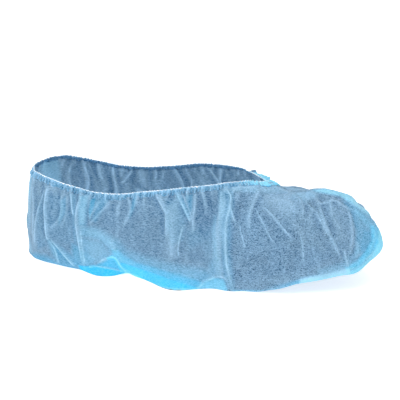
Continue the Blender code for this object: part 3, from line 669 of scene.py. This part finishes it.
def upper_shares(t):
    """Each column's way from the rim to the girth: outward shares and height shares, row by row."""
    form = table_curves(SECTIONS, "along", ("form",), t)[0][:, None]
    turn = np.linspace(RIM_TURN, math.pi / 2.0, FINE_ROWS)[None, :]
    first_out = math.sin(RIM_TURN) ** form
    side_out = (np.sin(turn) ** form - first_out) / (1.0 - first_out)
    side_up = np.clip(np.cos(turn), 0.0, 1.0) ** form / math.cos(RIM_TURN) ** form
    down = [row.down for row in TOE_CREST]
    rows = np.linspace(0.0, 1.0, FINE_ROWS)
    toe_out = curve_through(down, [row.out for row in TOE_CREST], rows)[None, :]
    toe_up = curve_through(down, [row.up for row in TOE_CREST], rows)[None, :]
    toe = toe_share(t)
    return side_out + (toe_out - side_out) * toe, side_up + (toe_up - side_up) * toe


def between_lines(first, last, aside, upright):
    """Points between two lines, each row at its share of the way aside and of the way up or down."""
    rows = np.empty((len(first), aside.shape[1], 3))
    for axis, share in enumerate((aside, aside, upright)):
        rows[:, :, axis] = first[:, None, axis] + (last - first)[:, None, axis] * share
    return rows


def wall_curves(t, side, lobes=LOBES):
    """Each column's curve from the rim over the girth to the floor edge: columns, rows, xyz."""
    rim = rim_line(t, side)
    girth = girth_line(t, side)
    floor, reach = floor_line(girth, t, side, lobes)
    out, up = upper_shares(t)
    upper = between_lines(rim, girth, out, 1.0 - up)
    wall_puff = np.sin(np.pi * np.linspace(0.0, 1.0, FINE_ROWS))[None, :] * (1.0 - toe_share(t))
    upper += PUFF * outward(girth)[:, None, :] * wall_puff[:, :, None]
    skirt = np.clip((reach + SOLE_TUCK) / SKIRT_FULL, 0.0, 1.0)
    foot_form = (TUCK_FORM + (SKIRT_FORM - TUCK_FORM) * skirt)[:, None]
    turn = np.linspace(0.0, math.pi / 2.0, FINE_ROWS)[None, 1:]
    aside = 1.0 - np.clip(np.cos(turn), 0.0, 1.0) ** foot_form
    lower = between_lines(girth, floor, aside, np.sin(turn) ** foot_form)
    return np.concatenate([upper, lower], axis=1) + HEEL_PLACE


def grid_normals(grid):
    """Outward normals of a grid of columns that closes on itself."""
    round_way = np.roll(grid, -1, axis=0) - np.roll(grid, 1, axis=0)
    down_way = np.gradient(grid, axis=1)
    normal = np.cross(down_way, round_way)
    return normal / np.maximum(np.linalg.norm(normal, axis=2, keepdims=True), TINY_AREA)


def arc_lengths(grid):
    steps = np.linalg.norm(np.diff(grid, axis=1), axis=2)
    return np.concatenate([np.zeros((len(grid), 1)), np.cumsum(steps, axis=1)], axis=1)


def rows_at(grid, arc, distances):
    """Points of each column at the given distances from the rim: columns, rows, xyz."""
    rows = np.empty((len(grid), distances.shape[1], 3))
    for column in range(len(grid)):
        for axis in range(3):
            rows[column, :, axis] = np.interp(distances[column], arc[column], grid[column, :, axis])
    return rows


def wall_ring(columns):
    """The smooth wall in columns: their places, sides, curves, arc lengths and way round the rim."""
    t, side = ring_places(columns)
    smooth = wall_curves(t, side)
    steps = np.linalg.norm(np.roll(smooth[:, 0], -1, axis=0) - smooth[:, 0], axis=1)
    rim_arc = np.concatenate([[0.0], np.cumsum(steps)[:-1]])
    return t, side, smooth, arc_lengths(smooth), rim_arc, steps.sum()


def view_axes():
    """The photograph's view: to the right, up, and back towards the camera."""
    turn = math.radians(VIEW_TURN)
    down = math.radians(VIEW_DOWN)
    right = np.array([math.cos(turn), math.sin(turn), 0.0])
    back = np.array([math.sin(turn) * math.cos(down), -math.cos(turn) * math.cos(down), math.sin(down)])
    return right, np.cross(back, right), back


def photo_places(points):
    """Where points fall in the photograph, in its pixels."""
    right, up, back = view_axes()
    seen = points - np.array(AIM)
    scale = LENS / SENSOR * PHOTO_SIDE / (VIEW_DISTANCE - seen @ back)
    middle = PHOTO_SIDE / 2.0
    return middle + (seen @ right) * scale, middle - (seen @ up) * scale


def two_sides(grid, normals):
    """Each side's view of the grid: its pixel places and how far each place faces it."""
    back = view_axes()[2]
    over = np.array((1.0, -1.0, 1.0))
    facing = smooth_step(normals @ back, *FACING)
    mirrored = smooth_step((normals * over) @ back, *FACING) * (1.0 - facing)
    return photo_places(grid) + (facing,), photo_places(grid * over) + (mirrored,)


def pairs(numbers):
    return np.array(numbers, float).reshape(-1, 2)


def rounded_path(path):
    """A smooth line through a few points."""
    at = np.linspace(0.0, len(path) - 1.0, PATH_STEPS * (len(path) - 1))
    ends = np.concatenate([[2 * path[0] - path[1]], path, [2 * path[-1] - path[-2]]])
    place = np.minimum(at.astype(int), len(path) - 2)
    share = (at - place)[:, None]
    a, b, c, d = (ends[place + k] for k in range(4))
    square = (2 * a - 5 * b + 4 * c - d) * share**2
    return 0.5 * (2 * b + (c - a) * share + square + (3 * b - a - 3 * c + d) * share**3)


def along_segment(places, start, way):
    """Each place's offset from a segment's start, its share of the way along, and its distance."""
    off = places - start
    along = np.clip((off @ way) / (way @ way), 0.0, 1.0)
    return off, along, np.linalg.norm(off - along[:, None] * way, axis=1)


def path_shape(places, fold):
    """A fold's rise, its pale crest, the painted highlight on its lit slope and the painted shade on its
    dark side at each pixel place, tapering to its ends.
    """
    path = rounded_path(pairs(fold.path))
    best = np.full(len(places), np.inf)
    share = np.zeros(len(places))
    right = np.ones(len(places))
    for step in range(len(path) - 1):
        way = path[step + 1] - path[step]
        off, along, gap = along_segment(places, path[step], way)
        nearer = gap < best
        best = np.where(nearer, gap, best)
        share = np.where(nearer, (step + along) / (len(path) - 1), share)
        right = np.where(nearer, np.sign(way[1] * off[:, 0] - way[0] * off[:, 1]), right)
    taper = END_HEIGHT + (1.0 - END_HEIGHT) * smooth_step(np.minimum(share, 1.0 - share), 0.0, END_LENGTH)
    first_x, first_y = path[0]
    ripple = np.sin(19.0 * share + 3.0 * first_x) * np.sin(7.0 * share + first_y)
    waver = CREST_LEVEL + CREST_WAVER * ripple
    depth = abs(fold.shade)
    shaded = smooth_step(right * np.sign(fold.shade) * best, 0.0, SHADE_START * fold.swell)
    ridge = np.exp(-((best / (fold.swell * (1.0 - STEEPER * shaded))) ** RIDGE_FORM))
    # A painted highlight on the lit slope, and painted shade on the shaded side
    lit_slope_highlight = SLOPE_HIGHLIGHT * depth * (1.0 - shaded) * np.exp(-best / (SLOPE_REACH * fold.swell))
    crest = np.maximum(waver * bump(best, fold.line), lit_slope_highlight)
    dark = depth * shaded * bump(best - SHADE_PLACE * fold.swell, SHADE_WIDTH * fold.swell)
    return fold.rise * ridge * taper, fold.tone * crest * taper, dark * taper


def drawn_relief(folds, px, py, facing):
    """Rise, paler crests and lit slopes with painted highlights, and painted shade on the dark sides of
    drawn folds, on what their view shows.
    """
    rise, tone, dark = np.zeros((3,) + px.shape)
    for fold in folds:
        reach = FOLD_REACH * fold.swell
        low = pairs(fold.path).min(axis=0) - reach
        high = pairs(fold.path).max(axis=0) + reach
        inside = (px > low[0]) & (px < high[0]) & (py > low[1]) & (py < high[1]) & (facing > 0.0)
        ridge, crest, side = path_shape(np.stack([px[inside], py[inside]], axis=1), fold)
        rise[inside] += ridge * facing[inside]
        tone[inside] = np.maximum(tone[inside], crest * facing[inside])
        dark[inside] = np.maximum(dark[inside], side * facing[inside])
    return rise, tone, dark


def patch_share(px, py, patch):
    """How far each pixel place lies in a patch, from 0 to 1."""
    corners = pairs(patch.outline)
    places = np.stack([px, py], axis=1)
    inside = np.zeros(len(places), bool)
    edge = np.full(len(places), np.inf)
    for start, end in zip(corners, np.roll(corners, -1, axis=0)):
        way = end - start
        edge = np.minimum(edge, along_segment(places, start, way)[2])
        crosses = (start[1] > py) != (end[1] > py)
        height = way[1] or 1.0
        inside ^= crosses & (px < start[0] + (py - start[1]) / height * way[0])
    return smooth_step(np.where(inside, edge, -edge), -patch.soft, patch.soft)


def patch_tones(patches, px, py, facing):
    """The free, light and tight shares that the patches give."""
    tones = np.zeros((3,) + px.shape)
    seen = facing.ravel() > 0.0
    for patch in patches:
        share = np.zeros(px.size)
        share[seen] = patch_share(px.ravel()[seen], py.ravel()[seen], patch)
        share = share.reshape(px.shape) * facing
        for number, amount in enumerate((patch.free, patch.light, patch.tight)):
            tones[number] = np.maximum(tones[number], amount * share)
    return tones


def swell_moves(grid):
    """How far the broad swells move each place."""
    moves = np.zeros(grid.shape)
    for swell in SWELLS:
        gap = np.linalg.norm(grid - np.array((swell.x, swell.y, swell.z)), axis=2)
        moves += bump(gap, swell.radius)[:, :, None] * np.array((swell.forward, swell.left, swell.up))
    return moves


def pleat_relief(rim_arc, rim_total, distance):
    """Rise of the pleats that the elastic draws in, each with its own place, width and reach."""
    chance = np.random.default_rng(SEED)
    rise = np.zeros(distance.shape)
    for family in PLEAT_FAMILIES:
        step = rim_total / family.count
        for number in range(family.count):
            middle = (number + 0.5 + chance.uniform(-PLEAT_SHIFT, PLEAT_SHIFT)) * step
            width = chance.uniform(*family.width)
            height = chance.uniform(*family.rise)
            reach = chance.uniform(*family.reach)
            slant = chance.uniform(-family.slant, family.slant)
            lean = chance.uniform(-PLEAT_LEAN, PLEAT_LEAN)
            gap = rim_arc[:, None] - middle - slant * distance
            gap = (gap + rim_total / 2.0) % rim_total - rim_total / 2.0
            spread = width * (1.0 + PLEAT_OPENING * distance / reach) * (1.0 + lean * np.sign(gap))
            shape = np.exp(-(np.abs(gap / spread) ** PLEAT_FORM))
            rise += height * shape * bump(distance, reach)
    return rise


def crumple_relief(grid):
    """Rise of the loose crumples of handled fabric."""
    points = grid.reshape(-1, 3)
    rise = np.zeros(len(points))
    for number, crumple in enumerate(CRUMPLES):
        offset = number * np.array(CRUMPLE_OFFSET)
        cells = points / np.array((crumple.across, crumple.across, crumple.down)) + offset
        values = np.array([noise.noise(cell) for cell in cells.tolist()])
        if crumple.sharp:
            values = SHARP_LEVEL - np.sqrt(np.abs(values)) * SHARP_DROP
        rise += crumple.rise * values
    return rise.reshape(grid.shape[:2])


def blurred(field, columns, rows):
    """The field with each value spread over its neighbours, round the ring and down the rows."""
    total = np.zeros(field.shape)
    for step in range(-columns, columns + 1):
        total += np.roll(field, step, axis=0)
    total /= 2 * columns + 1
    padded = np.pad(total, ((0, 0), (rows, rows)), mode="edge")
    count = field.shape[1]
    return sum(padded[:, step : step + count] for step in range(2 * rows + 1)) / (2 * rows + 1)


def length_share(places):
    return (places[..., 0] - HEEL_PLACE[0]) / LENGTH


def stand_off(grid, hugging, height):
    """How freely the fabric stands away from what it is drawn over, from 0 to 1."""
    along = length_share(grid)
    gap = smooth_step(np.linalg.norm(grid - hugging, axis=2), *LOOSE_GAP)
    tip = smooth_step(along, *TIP_ZONE)
    toe_edge = smooth_step(along, *TOE_ZONE) * (1.0 - smooth_step(height, *TOE_EDGE))
    return np.maximum.reduce([0.8 * gap, tip, 0.6 * toe_edge])


def cloth_places(rim_arc, down):
    """Where each point lies in the flat cloth, for the pattern of bond dots."""
    across = np.broadcast_to(rim_arc[:, None] * GATHERING, down.shape)
    return np.stack([across, down], axis=-1).reshape(-1, 2)


def add_object(name, data):
    made = bpy.data.objects.new(name, data)
    bpy.context.scene.collection.objects.link(made)
    return made


def mesh_object(name, points, faces, shade, floats=None, uv=None):
    """A smooth mesh with a number for each point under each name, and a place in the cloth."""
    mesh = bpy.data.meshes.new(name)
    mesh.from_pydata(np.asarray(points, float).tolist(), [], faces)
    mesh.shade_smooth()
    mesh.materials.append(shade)
    for key, values in (floats or {}).items():
        attribute = mesh.attributes.new(key, "FLOAT", "POINT")
        attribute.data.foreach_set("value", np.asarray(values, np.float32).ravel())
    if uv is not None:
        layer = mesh.uv_layers.new(name="cloth")
        corners = np.empty(len(mesh.loops), np.int32)
        mesh.loops.foreach_get("vertex_index", corners)
        layer.data.foreach_set("uv", np.asarray(uv, np.float32)[corners].ravel())
    return add_object(name, mesh)


def band_faces(columns, rows, tube=False):
    """Quads of a band of columns that closes on itself, facing out. In a tube the rows close too."""
    column = np.arange(columns)[:, None]
    row = np.arange(rows if tube else rows - 1)[None, :]
    here = column * rows
    after = (column + 1) % columns * rows
    below = (row + 1) % rows
    corners = [here + row, here + below, after + below, after + row]
    return np.stack(corners, axis=-1).reshape(-1, 4).tolist()


def sole_lines(edge, edge_index, start):
    """The sole's lines across from near edge to far edge: new points, and each line's numbers."""
    points = []
    lines = []
    for near in range(1, len(edge) // 2):
        far = len(edge) - near
        first = start + len(points)
        way = edge[far] - edge[near]
        points += [edge[near] + way * strip / SOLE_STRIPS for strip in range(1, SOLE_STRIPS)]
        lines.append([edge_index[near], *range(first, start + len(points)), edge_index[far]])
    return points, lines


def sole_faces(lines, heel, toe):
    faces = [(heel, beside, corner) for corner, beside in zip(lines[0], lines[0][1:])]
    for line, after in zip(lines, lines[1:]):
        for strip in range(SOLE_STRIPS):
            faces.append((line[strip], line[strip + 1], after[strip + 1], after[strip]))
    faces += [(corner, beside, toe) for corner, beside in zip(lines[-1], lines[-1][1:])]
    return faces


def body_sheet():
    """The walls as a grid with all its relief, its numbers for the material, and its cloth places."""
    t, side, smooth, arc, rim_arc, rim_total = wall_ring(COLUMNS)
    start = BODY_START * HEM_WIDTH
    distance = start + (arc[:, -1:] - start) * np.linspace(0.0, 1.0, WALL_ROWS)[None, :]
    grid = rows_at(smooth, arc, distance)
    plain = wall_curves(t, side, ())
    hugging = rows_at(plain, arc_lengths(plain), distance)
    normals = grid_normals(grid)
    height = grid[:, :, 2] - toe_lift(t)[:, None]
    swelled = grid + swell_moves(grid)
    turned = np.stack([blurred(normals[:, :, axis], *TURN_BLUR) for axis in range(3)], axis=-1)
    near_view, far_view = two_sides(swelled, turned)
    near, near_tone, near_painted_shade = drawn_relief(DRAWN_FOLDS, *near_view)
    far, far_tone, far_painted_shade = drawn_relief(FAR_FOLDS, *far_view)
    rise = near + far + pleat_relief(rim_arc, rim_total, distance)
    rise += crumple_relief(grid) * smooth_step(distance, *CRUMPLE_ZONE)
    rise_left = smooth_step(height, 0.0, FLAT_HEIGHT)
    mirrored = [patch for patch in PATCHES if patch.name in MIRRORED]
    free, light, tight = np.maximum(patch_tones(PATCHES, *near_view), patch_tones(mirrored, *far_view))
    detail = (rise - blurred(rise, *DETAIL_BLUR)) * rise_left
    # Painted highlights on the crests of the relief, and painted shade in its hollows
    crest_highlights = np.clip(detail / HIGHLIGHT_RISE, 0.0, HIGHLIGHT_MOST)
    hollow_shade = np.clip(-detail / SHADE_RISE, 0.0, SHADE_MOST)
    # Paler: the folds' crests, partly doubled fabric, their lit slopes and the relief's crests, with
    # painted highlights, and paler patches. Greyer: tight patches, and painted shade on the folds' dark
    # sides and in hollows.
    floats = {
        "free": np.maximum(stand_off(grid, hugging, height), free),
        "light": np.maximum.reduce([near_tone, far_tone, light, crest_highlights]),
        "tight": np.maximum.reduce([tight, near_painted_shade, far_painted_shade, hollow_shade]),
    }
    grid = swelled + normals * (rise * rise_left)[:, :, None]
    grid[:, :, 2] = np.maximum(grid[:, :, 2], SOLE_LIFT)
    along = length_share(grid)
    arch = smooth_step(along, *ARCH_ZONE)
    ball = smooth_step(along, *BALL_ZONE)
    floats["grain"] = HEEL_GRAIN + ARCH_GRAIN * arch + BALL_GRAIN * ball
    return grid, floats, cloth_places(rim_arc, -distance)


def make_body(shade):
    """The bag of fabric: walls, heel, toe cap and sole, as one sheet."""
    grid, floats, cloth = body_sheet()
    points = list(grid.reshape(-1, 3))
    edge_index = [column * WALL_ROWS + WALL_ROWS - 1 for column in range(COLUMNS)]
    sole_points, lines = sole_lines(grid[:, -1], edge_index, len(points))
    faces = band_faces(COLUMNS, WALL_ROWS) + sole_faces(lines, edge_index[0], edge_index[COLUMNS // 2])
    for key, values in floats.items():
        floats[key] = np.append(values, np.full(len(sole_points), PLAIN_GRAIN if key == "grain" else 0.0))
    sole_cloth = [[point[0], point[1] - 1.0] for point in sole_points]
    cloth = np.concatenate([cloth, sole_cloth])
    return mesh_object("fabric_body", points + sole_points, faces, shade, floats, cloth)


def gather_wave(rim_arc, rim_total):
    """The uneven ripple of the gathers round the rim, and the phase of each place in it."""
    chance = np.random.default_rng(SEED + 1)
    shift = np.concatenate([[0.0], chance.uniform(-GATHER_SHIFT, GATHER_SHIFT, GATHERS - 1), [0.0]])
    knots = (np.arange(GATHERS + 1) + shift) / GATHERS
    phase = np.interp(rim_arc / rim_total, knots, np.arange(GATHERS + 1.0))
    tall = chance.uniform(*GATHER_HEIGHTS, GATHERS)
    height = np.interp(phase, np.arange(GATHERS + 1), np.append(tall, tall[0]))
    return np.cos(2.0 * math.pi * phase) * height, phase


def rim_up(smooth):
    """The way up out of the fabric's edge, at each column."""
    way = smooth[:, 0] - smooth[:, 1]
    return way / np.linalg.norm(way, axis=1, keepdims=True)


def make_hem(shade):
    """The folded hem: a ruffled band that goes over the rim, with its lower edge standing proud."""
    _, side, smooth, arc, rim_arc, rim_total = wall_ring(HEM_COLUMNS)
    down, layer = np.array(HEM_ROWS).T
    wave, phase = gather_wave(rim_arc, rim_total)
    along = smooth[:, 0, 0] - HEEL_PLACE[0]
    front = smooth_step(along, NEAR_FRONT[0] * RIM_LENGTH, HEEL_OVERHANG + NEAR_FRONT[1] * RIM_LENGTH)
    far_front = smooth_step(along, FAR_FRONT[0] * RIM_LENGTH, FAR_FRONT[1] * RIM_LENGTH)
    pale = np.where(side == FAR, far_front, front)[:, None]
    uneven = 1.0 + WAVE_SHARE * np.sin(2.0 * math.pi * phase * HEM_WAVES) + FRONT_WIDENING * front
    distance = down[None, :] * HEM_WIDTH * uneven[:, None]
    level = np.repeat(np.linspace(0.0, HEM_WIDTH, len(down))[None, :], HEM_COLUMNS, axis=0)
    middle = len(down) // 2
    normal = grid_normals(rows_at(smooth, arc, level))[:, middle : middle + 1, :]
    puckers = pleat_relief(rim_arc, rim_total, distance + PUCKER_START)
    lower = smooth_step(down * HEM_WIDTH, HEM_FREE_FROM, HEM_WIDTH)[None, :]
    ruffle = wave[:, None] * (RUFFLE + EDGE_RUFFLE * lower) * (1.0 + FRONT_RUFFLE * front[:, None])
    shown = puckers * (UPPER_PUCKERS + (1.0 - UPPER_PUCKERS) * lower)
    offset = LAYER_GAP * layer[None, :] + shown + ruffle + HEM_OFFSET
    grid = rows_at(smooth, arc, distance) + normal * offset[:, :, None]
    crest = ((GATHER_RISE + FRONT_RISE * front) * wave)[:, None] * bump(down, RISE_REACH)[None, :]
    grid += rim_up(smooth)[:, None, :] * crest[:, :, None]
    cloth = cloth_places(rim_arc, distance * np.where(layer < 0.0, -1.0, 1.0))
    detail = ruffle + puckers - blurred(ruffle + puckers, DETAIL_BLUR[0], 0)
    inside = (layer < 0.0)[None, :].astype(float)
    # Painted highlights along the rim and on the crests of ruffles and puckers, painted light inside, and
    # painted shade in the hollows
    rim_highlight = RIM_HIGHLIGHT * bump(down * HEM_WIDTH, RIM_HIGHLIGHT_REACH)[None, :] * (1.0 - inside)
    light = HEM_LIGHT + FRONT_LIGHT * pale + INSIDE_PAINTED_LIGHT * inside + rim_highlight + detail / HEM_HIGHLIGHT_RISE
    tight = np.clip(-detail / HEM_SHADE_RISE, 0.0, HEM_SHADE_MOST)
    floats = {
        "free": np.full(grid.shape[:2], HEM_FREE) + FRONT_FREE * pale,
        "light": np.clip(light, 0.0, LIGHT_MOST),
        "tight": tight * (1.0 - pale) * (1.0 - inside),
        "grain": np.full(grid.shape[:2], PLAIN_GRAIN),
    }
    faces = band_faces(HEM_COLUMNS, len(down))
    return mesh_object("ruffled_hem", grid.reshape(-1, 3), faces, shade, floats, cloth)


def make_elastic(shade):
    """The white elastic on the hem's top edge, pinched at each stitch."""
    smooth, _, rim_arc, rim_total = wall_ring(ELASTIC_COLUMNS)[2:]
    up = rim_up(smooth)
    out = grid_normals(smooth)[:, 1]
    wave, _ = gather_wave(rim_arc, rim_total)
    radius = ELASTIC_DIAMETER / 2.0 * (THREAD_RADIUS[0] + THREAD_RADIUS[1] * wave)
    centre = smooth[:, 0] + up * (THREAD_UP[0] + THREAD_UP[1] * wave)[:, None]
    centre += out * (THREAD_OUT[0] + THREAD_OUT[1] * wave)[:, None]
    turn = 2.0 * math.pi * np.arange(ELASTIC_SIDES) / ELASTIC_SIDES
    grid = centre[:, None, :] + out[:, None, :] * (radius[:, None] * np.cos(turn)[None, :])[:, :, None]
    grid += up[:, None, :] * (radius[:, None] * np.sin(turn)[None, :])[:, :, None]
    faces = band_faces(ELASTIC_COLUMNS, ELASTIC_SIDES, tube=True)
    return mesh_object("elastic_thread", grid.reshape(-1, 3), faces, shade)


def new_material(name):
    made = bpy.data.materials.new(name)
    made.use_nodes = True
    made.node_tree.nodes.clear()
    return made, made.node_tree


def node(tree, kind, inputs, **settings):
    """A node with its settings, and its inputs set to values or linked to other nodes' sockets."""
    made = tree.nodes.new("ShaderNode" + kind)
    for key, value in settings.items():
        setattr(made, key, value)
    for key, value in inputs.items():
        if hasattr(value, "is_linked"):
            tree.links.new(value, made.inputs[key])
        else:
            made.inputs[key].default_value = value
    return made


def mix_colour(tree, factor, first, second):
    return node(tree, "Mix", {0: factor, 6: first, 7: second}, data_type="RGBA").outputs[2]


def maths(tree, operation, *values, clamp=False):
    inputs = dict(enumerate(values))
    return node(tree, "Math", inputs, operation=operation, use_clamp=clamp).outputs[0]


def noise_at(tree, vector, texture):
    """A noise texture's value."""
    place = node(tree, "Mapping", {"Vector": vector, "Scale": texture.stretch}).outputs[0]
    inputs = {"Vector": place, "Scale": texture.scale}
    inputs |= {"Detail": texture.detail, "Roughness": texture.roughness}
    return node(tree, "TexNoise", inputs).outputs["Fac"]


def finished(tree, shader):
    node(tree, "OutputMaterial", {"Surface": shader.outputs[0]})


def fabric_material(name, panel, translucent):
    """Spunbond fabric: cloudy fibres and bond dots, bluer where it stands off, paler on its folds with
    painted highlights, and greyer where it hugs and with painted shade.
    """
    made, tree = new_material(name)
    place = node(tree, "TexCoord", {}).outputs["Object"]
    cloth = node(tree, "UVMap", {}, uv_map="cloth").outputs["UV"]
    shares = {}
    for key in ("free", "light", "tight", "grain"):
        shares[key] = node(tree, "Attribute", {}, attribute_name=key).outputs["Fac"]
    speck = noise_at(tree, place, SPECKS)
    across = noise_at(tree, place, FIBRES)
    broad = noise_at(tree, place, CLOUDS)
    dots = node(tree, "TexVoronoi", {"Vector": cloth, "Scale": DOT_SCALE, "Randomness": 0.25})
    dot = maths(tree, "LESS_THAN", dots.outputs["Distance"], DOT_SIZE)
    # Greyer where the fabric hugs, and painted shade on the folds' dark sides, between folds and in hollows
    colour = mix_colour(tree, shares["tight"], panel, GREY_AND_SHADE_BLUE)
    colour = mix_colour(tree, shares["free"], colour, LOOSE_BLUE)
    # Paler on crests, partly doubled fabric and partly painted highlights, and with the hem's painted light
    # inside
    pale = mix_colour(tree, shares["free"], CREST_BLUE, BRIGHT_BLUE)
    colour = mix_colour(tree, maths(tree, "MULTIPLY", shares["light"], 0.85), colour, pale)
    dark = maths(tree, "MULTIPLY", maths(tree, "MAXIMUM", maths(tree, "SUBTRACT", speck, 0.50), 0.0), -3.2)
    dark = maths(tree, "MULTIPLY", maths(tree, "ADD", dark, 0.13), shares["grain"])
    mottle = maths(tree, "ADD", dark, maths(tree, "SUBTRACT", across, 0.5))
    loose = maths(tree, "MULTIPLY", shares["free"], 0.55)
    plain = maths(tree, "MULTIPLY", shares["light"], 0.60)
    hold = maths(tree, "SUBTRACT", 1.0, maths(tree, "MAXIMUM", loose, plain))
    mottle = maths(tree, "MULTIPLY", mottle, hold)
    drift = maths(tree, "MULTIPLY", maths(tree, "SUBTRACT", broad, 0.5), 0.35)
    light = maths(tree, "SUBTRACT", maths(tree, "ADD", drift, 1.0), maths(tree, "MULTIPLY", dot, 0.05))
    cloud = node(tree, "VectorMath", {0: colour, "Scale": light}, operation="SCALE")
    terms = {0: SPECKLE, 1: mottle, 2: cloud.outputs[0]}
    shaded = node(tree, "VectorMath", terms, operation="MULTIPLY_ADD").outputs[0]
    height = maths(tree, "ADD", maths(tree, "MULTIPLY", speck, 0.8), across)
    height = maths(tree, "SUBTRACT", height, maths(tree, "MULTIPLY", dot, 0.4))
    relief = node(tree, "Bump", {"Height": height, "Strength": 0.4, "Distance": 0.0002}).outputs[0]
    inputs = {"Base Color": shaded, "Normal": relief, "Roughness": 0.75, "Specular IOR Level": 0.25}
    inputs |= {"Sheen Weight": 0.35, "Sheen Roughness": 0.45, "Sheen Tint": (0.75, 0.93, 1.0, 1.0)}
    surface = node(tree, "BsdfPrincipled", inputs).outputs[0]
    through = node(tree, "BsdfTranslucent", {"Color": shaded, "Normal": relief}).outputs[0]
    finished(tree, node(tree, "MixShader", {0: translucent, 1: surface, 2: through}))
    return made


def elastic_material():
    """White elastic covered in thread."""
    made, tree = new_material("white_elastic_thread")
    place = node(tree, "TexCoord", {}).outputs["Object"]
    wrap = noise_at(tree, place, WRAPPING)
    spread = maths(tree, "MULTIPLY", maths(tree, "SUBTRACT", wrap, 0.35), 3.0, clamp=True)
    tint = mix_colour(tree, spread, (0.35, 0.58, 0.76, 1.0), (0.95, 0.97, 1.0, 1.0))
    relief = node(tree, "Bump", {"Height": wrap, "Strength": 0.3, "Distance": 0.0001}).outputs[0]
    inputs = {"Base Color": tint, "Normal": relief, "Roughness": 0.6}
    finished(tree, node(tree, "BsdfPrincipled", inputs))
    return made


def make_floor():
    """A plain pale floor, with a little light of its own."""
    made, tree = new_material("pale_floor")
    inputs = {"Base Color": (0.80, 0.80, 0.80, 1.0), "Roughness": 0.9}
    inputs |= {"Emission Color": (1.0, 1.0, 1.0, 1.0), "Emission Strength": 0.60}
    finished(tree, node(tree, "BsdfPrincipled", inputs))
    mesh = bpy.data.meshes.new("floor")
    corners = [(-FLOOR_REACH, -FLOOR_REACH, 0), (FLOOR_REACH, -FLOOR_REACH, 0)]
    corners += [(FLOOR_REACH, FLOOR_REACH, 0), (-FLOOR_REACH, FLOOR_REACH, 0)]
    mesh.from_pydata(corners, [], [(0, 1, 2, 3)])
    mesh.materials.append(made)
    add_object("floor", mesh)


def aim_at(thing, place, way):
    """Puts a lamp or a camera at a place, looking along a way."""
    thing.location = place
    thing.rotation_mode = "QUATERNION"
    thing.rotation_quaternion = way.to_track_quat("-Z", "Y")


def make_lights():
    """Soft studio light from all round, a little stronger from above and the left."""
    world = bpy.data.worlds.new("studio")
    bpy.context.scene.world = world
    world.use_nodes = True
    back = world.node_tree.nodes["Background"]
    back.inputs["Color"].default_value = (1.0, 1.0, 1.0, 1.0)
    back.inputs["Strength"].default_value = 0.75
    for lamp in LAMPS:
        data = bpy.data.lights.new(lamp.name, "AREA")
        data.shape = "DISK"
        data.size = lamp.size
        data.energy = lamp.power
        aim_at(add_object(lamp.name, data), lamp.place, Vector(LAMP_AIM) - Vector(lamp.place))


def make_camera():
    data = bpy.data.cameras.new("camera")
    data.lens = LENS
    data.sensor_width = SENSOR
    data.clip_start = 0.05
    data.clip_end = 30.0
    camera = add_object("camera", data)
    back = Vector(view_axes()[2])
    aim_at(camera, Vector(AIM) + back * VIEW_DISTANCE, -back)
    bpy.context.scene.camera = camera


def place_on(obj, node_name):
    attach(obj, "root")
    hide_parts(node_name)


def main():
    bpy.context.scene.view_settings.view_transform = "Standard"
    make_camera()
    body = make_body(fabric_material("spunbond_fabric", PANEL_BLUE, 0.35))
    hem = make_hem(fabric_material("spunbond_hem", HEM_BLUE, 0.30))
    elastic = make_elastic(elastic_material())
    place_on(body, "cover_body")
    place_on(hem, "gathered_hem")
    place_on(elastic, "elastic_band")
    make_floor()
    make_lights()


main()
